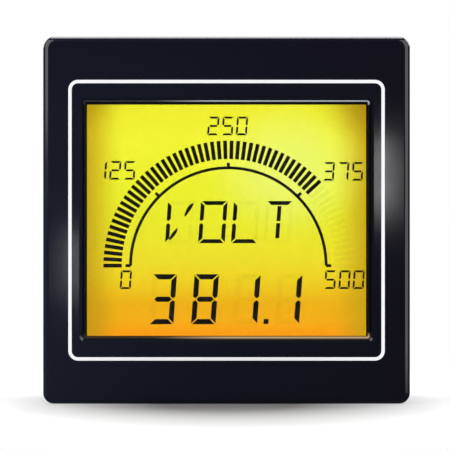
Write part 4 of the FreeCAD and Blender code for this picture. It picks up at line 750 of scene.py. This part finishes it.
# %% Layout of the display
# Each line of characters: its text, its size (width, height, stroke, gap), and each centre, all in mm.
SMALL = (2.2, 3.68, 0.4, 0.1)
READING = (4.82, 9.85, 1.02, 0.17)
UNIT = (5.25, 8.3, 0.78, 0.2)
LINES = [
    ("0", SMALL, [-20.18], -2.77), ("500", SMALL, [20.06, 22.88, 25.66], -2.76),
    ("250", SMALL, [-2.95, -0.12, 2.68], 27.5), ("125", SMALL, [-25.08, -22.26, -19.42], 18.76),
    ("375", SMALL, [19.78, 22.62, 25.45], 18.56),
    ("3811", READING, [-12.87, -4.59, 3.62, 11.86], -6.61),
    ("VOLT", UNIT, [-9.55, -3.05, 3.42, 9.85], 8.57),
]
POINT_SIDE, POINT_PLACE = 0.98, (7.42, -10.99)
ARC_RADIUS, ARC_WIDTH, ARC_STEPS = 19.25, 0.58, 72
BAR_COUNT, BARS_DARK = 60, 46
BAR_INNER, BAR_OUTER, BAR_WIDTH = 20.98, 24.61, 0.75
BAR_PITCH = math.pi / (BAR_COUNT - 1)
TICK_WIDTH, TICK_REACH = 0.6, 1.0
TICK_STEP = 0.001 * MM  # the ticks lie this far in front of the arc, so that no two faces coincide
PIVOT = Vector((SCALE_CENTRE.x * MM, FIGURE_FRONT, SCALE_CENTRE.y * MM))


def fan_of_bars(bm, first, count):
    """Flat bars of the fan, from bar number first on. A spin about Y goes clockwise for the reader."""
    half = BAR_WIDTH / 2
    outline = [(-BAR_OUTER, -half), (-BAR_INNER, -half), (-BAR_INNER, half), (-BAR_OUTER, half)]
    bar = bmesh.new()
    lay_outline(bar, outline, SCALE_CENTRE, FIGURE_FRONT)
    bmesh.ops.rotate(bar, verts=bar.verts, cent=PIVOT, matrix=Matrix.Rotation(first * BAR_PITCH, 3, "Y"))
    bmesh.ops.spin(bar, geom=bar.verts[:] + bar.edges[:] + bar.faces[:], cent=PIVOT, axis=(0, 1, 0),
                   angle=(count - 1) * BAR_PITCH, steps=count - 1, use_duplicate=True)
    mesh = bpy.data.meshes.new("fan")
    bar.to_mesh(mesh)
    bar.free()
    bm.from_mesh(mesh)
    bpy.data.meshes.remove(mesh)


# %% Dark figures
def liquid_crystal(name, deep, pale, alpha):
    """Liquid crystal between polarisers, with a painted leak of the glow that clouds its colour a little
    paler.
    """
    material, place, shader = start_finish(name)
    painted_leak = add_node(material, "ShaderNodeTexNoise", inputs={
        "Vector": place, "Scale": 1 / (3 * MM), "Detail": 2.0})
    tone = add_node(material, "ShaderNodeMix", {"data_type": "RGBA"}, {
        FACTOR: painted_leak.outputs["Fac"], FIRST: linear(deep), SECOND: linear(pale)})
    shader.inputs["Alpha"].default_value = alpha
    shader.inputs["Roughness"].default_value = 0.5
    feed(material, shader, Base_Color=tone.outputs[MIXED])
    return material


# Switched on: near-black, a little warm.
dark_crystal = liquid_crystal("liquid_crystal_dark", "#150C0B", "#1F1310", 1.0)

bm = bmesh.new()
bmesh.ops.create_vert(bm, co=PIVOT + Vector((-(ARC_RADIUS - ARC_WIDTH / 2) * MM, 0, 0)))
bmesh.ops.create_vert(bm, co=PIVOT + Vector((-(ARC_RADIUS + ARC_WIDTH / 2) * MM, 0, 0)))
start = bmesh.ops.contextual_create(bm, geom=bm.verts[:])["edges"]
bmesh.ops.spin(bm, geom=bm.verts[:] + start, cent=PIVOT, axis=(0, 1, 0), angle=math.pi, steps=ARC_STEPS)
for degrees in (0, 45, 90, 135, 180):
    tick = [(-ARC_RADIUS - TICK_REACH, -TICK_WIDTH / 2), (-ARC_RADIUS, -TICK_WIDTH / 2),
            (-ARC_RADIUS, TICK_WIDTH / 2), (-ARC_RADIUS - TICK_REACH, TICK_WIDTH / 2)]
    turn = Matrix.Rotation(-math.radians(degrees), 2)
    lay_outline(bm, [turn @ Vector(corner) for corner in tick], SCALE_CENTRE, FIGURE_FRONT - TICK_STEP)
fan_of_bars(bm, 0, BARS_DARK)
for text, (wide, high, stroke, gap), centres, height in LINES:
    bars = character_bars(wide, high, stroke, gap)
    for letter, x in zip(text, centres):
        for bar in DARK_BARS[letter]:
            lay_outline(bm, bars[bar], (SCALE_CENTRE.x + x, SCALE_CENTRE.y + height), FIGURE_FRONT, SLANT)
half = POINT_SIDE / 2
lay_outline(bm, [(-half, -half), (half, -half), (half, half), (-half, half)],
            (SCALE_CENTRE.x + POINT_PLACE[0], SCALE_CENTRE.y + POINT_PLACE[1]), FIGURE_FRONT, SLANT)
print("Open edges:", thicken(bm, FIGURE_BACK - FIGURE_FRONT))
add_piece("lcd_figures", bm, dark_crystal)

# %% [markdown]
# The bars that are switched off still show as the faintest shade, as their electrodes dim the glow by a
# few parts in a hundred. They are the same shapes with a nearly clear finish.

# %% Resting figures
resting_crystal = liquid_crystal("liquid_crystal_resting", "#6B5A14", "#7A6A1C", 0.02)

bm = bmesh.new()
fan_of_bars(bm, BARS_DARK, BAR_COUNT - BARS_DARK)
for text, (wide, high, stroke, gap), centres, height in LINES:
    if (wide, high, stroke, gap) == SMALL:
        continue
    bars = character_bars(wide, high, stroke, gap)
    whole = "abcdefg" if text.isdigit() else "abcdef"
    for letter, x in zip(text, centres):
        for bar in sorted(set(whole) - set(DARK_BARS[letter])):
            lay_outline(bm, bars[bar], (SCALE_CENTRE.x + x, SCALE_CENTRE.y + height), FIGURE_FRONT, SLANT)
print("Open edges:", thicken(bm, FIGURE_BACK - FIGURE_FRONT))
add_piece("lcd_resting_figures", bm, resting_crystal)

# %% [markdown]
# ## The window's edge
# Two thin rings frame the glow. A thin black ring lies on the back of the window, over the display's rim,
# which it hides, and the foot of the bezel's slope ends in a fine clear bead. The bead's light is painted:
# a painted glint shows as a pale thread above the display, brighter to the right, and a painted warm glow
# as a line below. Both rings start as one rectangle whose corners are rounded, which an inset turns to a
# frame.

# %% A thin frame
def thin_frame(half_wide, half_high, lift, corner, width, front, depth, rounding=0.0):
    """A rounded rectangular ring, sizes in millimetres, whose front edges may be rounded off."""
    bm = bmesh.new()
    lay_outline(bm, [(-half_wide, -half_high), (half_wide, -half_high), (half_wide, half_high),
                     (-half_wide, half_high)], (0, lift), front * MM)
    bmesh.ops.bevel(bm, geom=bm.verts[:], offset=corner * MM, affect="VERTICES", segments=5, profile=0.5,
                    material=-1)
    pane = bm.faces[:]
    bmesh.ops.inset_region(bm, faces=pane, thickness=width * MM, use_boundary=True, use_even_offset=True)
    bmesh.ops.delete(bm, geom=pane, context="FACES")
    open_edges = thicken(bm, depth * MM)
    if rounding:
        bmesh.ops.recalc_face_normals(bm, faces=bm.faces[:])
        rims = [edge for edge in bm.edges if edge.calc_face_angle(0) > 1
                and all(abs(vert.co.y - front * MM) < 0.001 * MM for vert in edge.verts)]
        bmesh.ops.bevel(bm, geom=rims, offset=rounding * MM, affect="EDGES", segments=3, profile=0.5,
                        material=-1)
    print("Open edges:", open_edges)
    return bm


# A thin black ring on the back of the window, over the display's rim.
mask = thin_frame(half_wide=28.3, half_high=23.6, lift=0.0, corner=0.8, width=0.88, front=-4.395, depth=0.03)
add_piece("window_mask", mask, dark_crystal)

# Clear acrylic bead, frosted. Its light is painted: a painted glint turns its colour pale above the display,
# brighter to the right, and a painted warm glow, an emission, lies along its bottom.
PAINTED_DARK_TO, PAINTED_BRIGHT_FROM = -16 * MM, 1 * MM
bead_painted_light, place, shader = start_finish("bead_painted_glint_and_glow")
spot = add_node(bead_painted_light, "ShaderNodeSeparateXYZ", inputs={"Vector": place})
painted_rightward = add_node(bead_painted_light, "ShaderNodeMapRange", {"interpolation_type": "SMOOTHSTEP"}, {
    "Value": spot.outputs["X"], "From Min": PAINTED_DARK_TO, "From Max": PAINTED_BRIGHT_FROM})
painted_mottle = add_node(bead_painted_light, "ShaderNodeTexNoise", inputs={
    "Vector": place, "Scale": 1 / (2 * MM), "Detail": 3.0})
painted_strength = add_node(bead_painted_light, "ShaderNodeMath", {"operation": "MULTIPLY_ADD"}, {
    0: painted_mottle.outputs["Fac"], 1: 0.15, 2: painted_rightward.outputs["Result"]})
# The painted glint: pale colour only along the top of the ring.
glint_band = add_node(bead_painted_light, "ShaderNodeMapRange", inputs={
    "Value": spot.outputs["Z"], "From Min": 22.5 * MM, "From Max": 23.0 * MM})
painted_glint = add_node(bead_painted_light, "ShaderNodeMath", {"operation": "MULTIPLY"}, {
    0: painted_strength.outputs[0], 1: glint_band.outputs["Result"]})
tone = add_node(bead_painted_light, "ShaderNodeMix", {"data_type": "RGBA"}, {
    FACTOR: painted_glint.outputs[0], FIRST: linear("#07080C"), SECOND: linear("#B6BCC4")})
# The painted glow: warm emission only along the bottom of the ring.
glow_band = add_node(bead_painted_light, "ShaderNodeMapRange", inputs={
    "Value": spot.outputs["Z"], "From Min": -22.0 * MM, "From Max": -23.0 * MM, "To Max": 0.55})
painted_glow = add_node(bead_painted_light, "ShaderNodeMath", {"operation": "MULTIPLY"}, {
    0: painted_strength.outputs[0], 1: glow_band.outputs["Result"]})
shader.inputs["Emission Color"].default_value = linear("#F0CC96")
shader.inputs["Specular IOR Level"].default_value = 0.1
shader.inputs["Roughness"].default_value = 0.45
shader.inputs["IOR"].default_value = 1.49
feed(bead_painted_light, shader, Base_Color=tone.outputs[MIXED], Emission_Strength=painted_glow.outputs[0])
bead = thin_frame(half_wide=28.1, half_high=23.4, lift=0.2, corner=0.5, width=0.36, front=-6.55, depth=0.85,
                  rounding=0.16)
add_piece("window_bead", bead, bead_painted_light)

# %% [markdown]
# ## Marks on the back
# The cover carries pad-printed numbers beside the terminals and a sign above each key, and the label
# shows a plain wiring diagram. Print is a few hundredths of a millimetre thick. Letters come from
# Blender's own font, are made a mesh, and are turned to be read from behind.

# %% Printing inks
def printing_ink(name, deep, pale):
    """Pad-printed ink: matt, and a little uneven where the pad lifted."""
    material, place, shader = start_finish(name)
    lift = add_node(material, "ShaderNodeTexNoise", inputs={
        "Vector": place, "Scale": 1 / (0.4 * MM), "Detail": 3.0})
    tone = add_node(material, "ShaderNodeMix", {"data_type": "RGBA"}, {
        FACTOR: lift.outputs["Fac"], FIRST: linear(deep), SECOND: linear(pale)})
    shader.inputs["Roughness"].default_value = 0.55
    feed(material, shader, Base_Color=tone.outputs[MIXED])
    return material


white_print = printing_ink("print_white", "#DADADA", "#F2F2F2")
dark_print = printing_ink("print_dark", "#1E2022", "#303236")
print("Printing inks:", white_print.name, dark_print.name)

# Seen from behind, the letters' right is -X, their up is Z, and they stand out along +Y.
FROM_BEHIND = Matrix(((-1, 0, 0, 0), (0, 0, 1, 0), (0, 1, 0, 0), (0, 0, 0, 1)))


def letter_from_behind(bm, words, x, z, y, size, thick):
    """Adds words to a bmesh, centred at x and z in millimetres and standing on the surface at y."""
    curve = bpy.data.curves.new("letters", "FONT")
    curve.body, curve.size, curve.extrude = words, size * MM, thick * MM / 2
    curve.align_x, curve.align_y = "CENTER", "CENTER"
    curve.resolution_u = 4
    letters = bpy.data.objects.new("letters", curve)
    bpy.context.scene.collection.objects.link(letters)
    bpy.context.view_layer.update()
    mesh = bpy.data.meshes.new_from_object(letters.evaluated_get(bpy.context.evaluated_depsgraph_get()))
    bpy.data.objects.remove(letters)
    mesh.transform(Matrix.Translation((x * MM, (y + thick / 2) * MM, z * MM)) @ FROM_BEHIND)
    bm.from_mesh(mesh)
    bpy.data.meshes.remove(mesh)


# %% Numbers and signs on the cover
COVER_BACK = 46.0
PRINT_THICK = 0.04
UPPER_TERMINALS = [7.62, 2.54, -2.54, -7.62]
LOWER_TERMINALS = [3.81, -3.81]
NUMBER_HEIGHT, NUMBER_SIZE = 28.4, 3.0
SIGN_HEIGHT = 5.6
KEY_PLACES = {"down": -8.0, "up": -16.0, "set": -24.0}

signs = bmesh.new()
triangle = [(-1.0, -0.8), (1.0, -0.8), (0.0, 0.9)]
lay_outline(signs, triangle, (KEY_PLACES["up"], SIGN_HEIGHT), COVER_BACK * MM)
lay_outline(signs, mirrored(triangle), (KEY_PLACES["down"], SIGN_HEIGHT), COVER_BACK * MM)
for low, high in ((-0.85, -0.45), (-0.2, 0.2), (0.45, 0.85)):
    lay_outline(signs, [(-1.0, low), (1.0, low), (1.0, high), (-1.0, high)],
                (KEY_PLACES["set"], SIGN_HEIGHT), COVER_BACK * MM)
print("Open edges:", thicken(signs, PRINT_THICK * MM))
for number, x in enumerate(UPPER_TERMINALS, start=1):
    letter_from_behind(signs, str(number), x, NUMBER_HEIGHT, COVER_BACK, NUMBER_SIZE, PRINT_THICK)
for number, x in enumerate(LOWER_TERMINALS, start=5):
    letter_from_behind(signs, str(number), x, -NUMBER_HEIGHT, COVER_BACK, NUMBER_SIZE, PRINT_THICK)
add_piece("cover_print", signs, white_print)

# %% Wiring diagram on the label
LABEL_BACK = 46.15
LABEL_CENTRE = 16.0
LABEL_HALF_WIDE, LABEL_HALF_HIGH = 12.0, 7.5
LINE = 0.22
CONTACT_PITCH = 3.7
CONTACT_HEIGHT, CONTACT_HALF = 2.4, 0.8
WIRE_FOOT = -1.0
BOX_TOP, BOX_FOOT, BOX_MARGIN = -1.2, -5.6, 0.6
CONTACT_NUMBERS_HEIGHT, CONTACT_NUMBERS_SIZE = 5.3, 2.0
UNIT_HEIGHT, UNIT_SIZE = -3.4, 2.8

diagram = bmesh.new()


def rule(x0, z0, x1, z1):
    """A printed line of the diagram between two points, level or upright, in millimetres."""
    grow = LINE / 2
    lay_outline(diagram, [(x0 - grow, z0 - grow), (x1 + grow, z0 - grow), (x1 + grow, z1 + grow),
                          (x0 - grow, z1 + grow)], (LABEL_CENTRE, 0), LABEL_BACK * MM)


def box(x0, z0, x1, z1):
    """Four lines round a rectangle. The upright ones stop short of the level ones."""
    for z in (z0, z1):
        rule(x0, z, x1, z)
    for x in (x0, x1):
        rule(x, z0 + LINE, x, z1 - LINE)


box(-LABEL_HALF_WIDE, -LABEL_HALF_HIGH, LABEL_HALF_WIDE, LABEL_HALF_HIGH)
contacts = [(2.5 - n) * CONTACT_PITCH for n in range(6)]
for x in contacts:
    box(x - CONTACT_HALF, CONTACT_HEIGHT - CONTACT_HALF, x + CONTACT_HALF, CONTACT_HEIGHT + CONTACT_HALF)
    rule(x, WIRE_FOOT, x, CONTACT_HEIGHT - CONTACT_HALF - LINE)
# Each pair of contacts goes to one box: the measured voltage, the supply and the relay.
for left, right in zip(contacts[0::2], contacts[1::2]):
    box(right - BOX_MARGIN, BOX_FOOT, left + BOX_MARGIN, BOX_TOP)
print("Open edges:", thicken(diagram, PRINT_THICK * MM))
for number, x in enumerate(contacts, start=1):
    letter_from_behind(diagram, str(number), LABEL_CENTRE + x, CONTACT_NUMBERS_HEIGHT, LABEL_BACK,
                       CONTACT_NUMBERS_SIZE, PRINT_THICK)
for words, place_in_row in (("V", 0), ("~", 1), ("/", 2)):
    middle = sum(contacts[2 * place_in_row:2 * place_in_row + 2]) / 2
    letter_from_behind(diagram, words, LABEL_CENTRE + middle, UNIT_HEIGHT, LABEL_BACK, UNIT_SIZE, PRINT_THICK)
add_piece("label_print", diagram, dark_print)
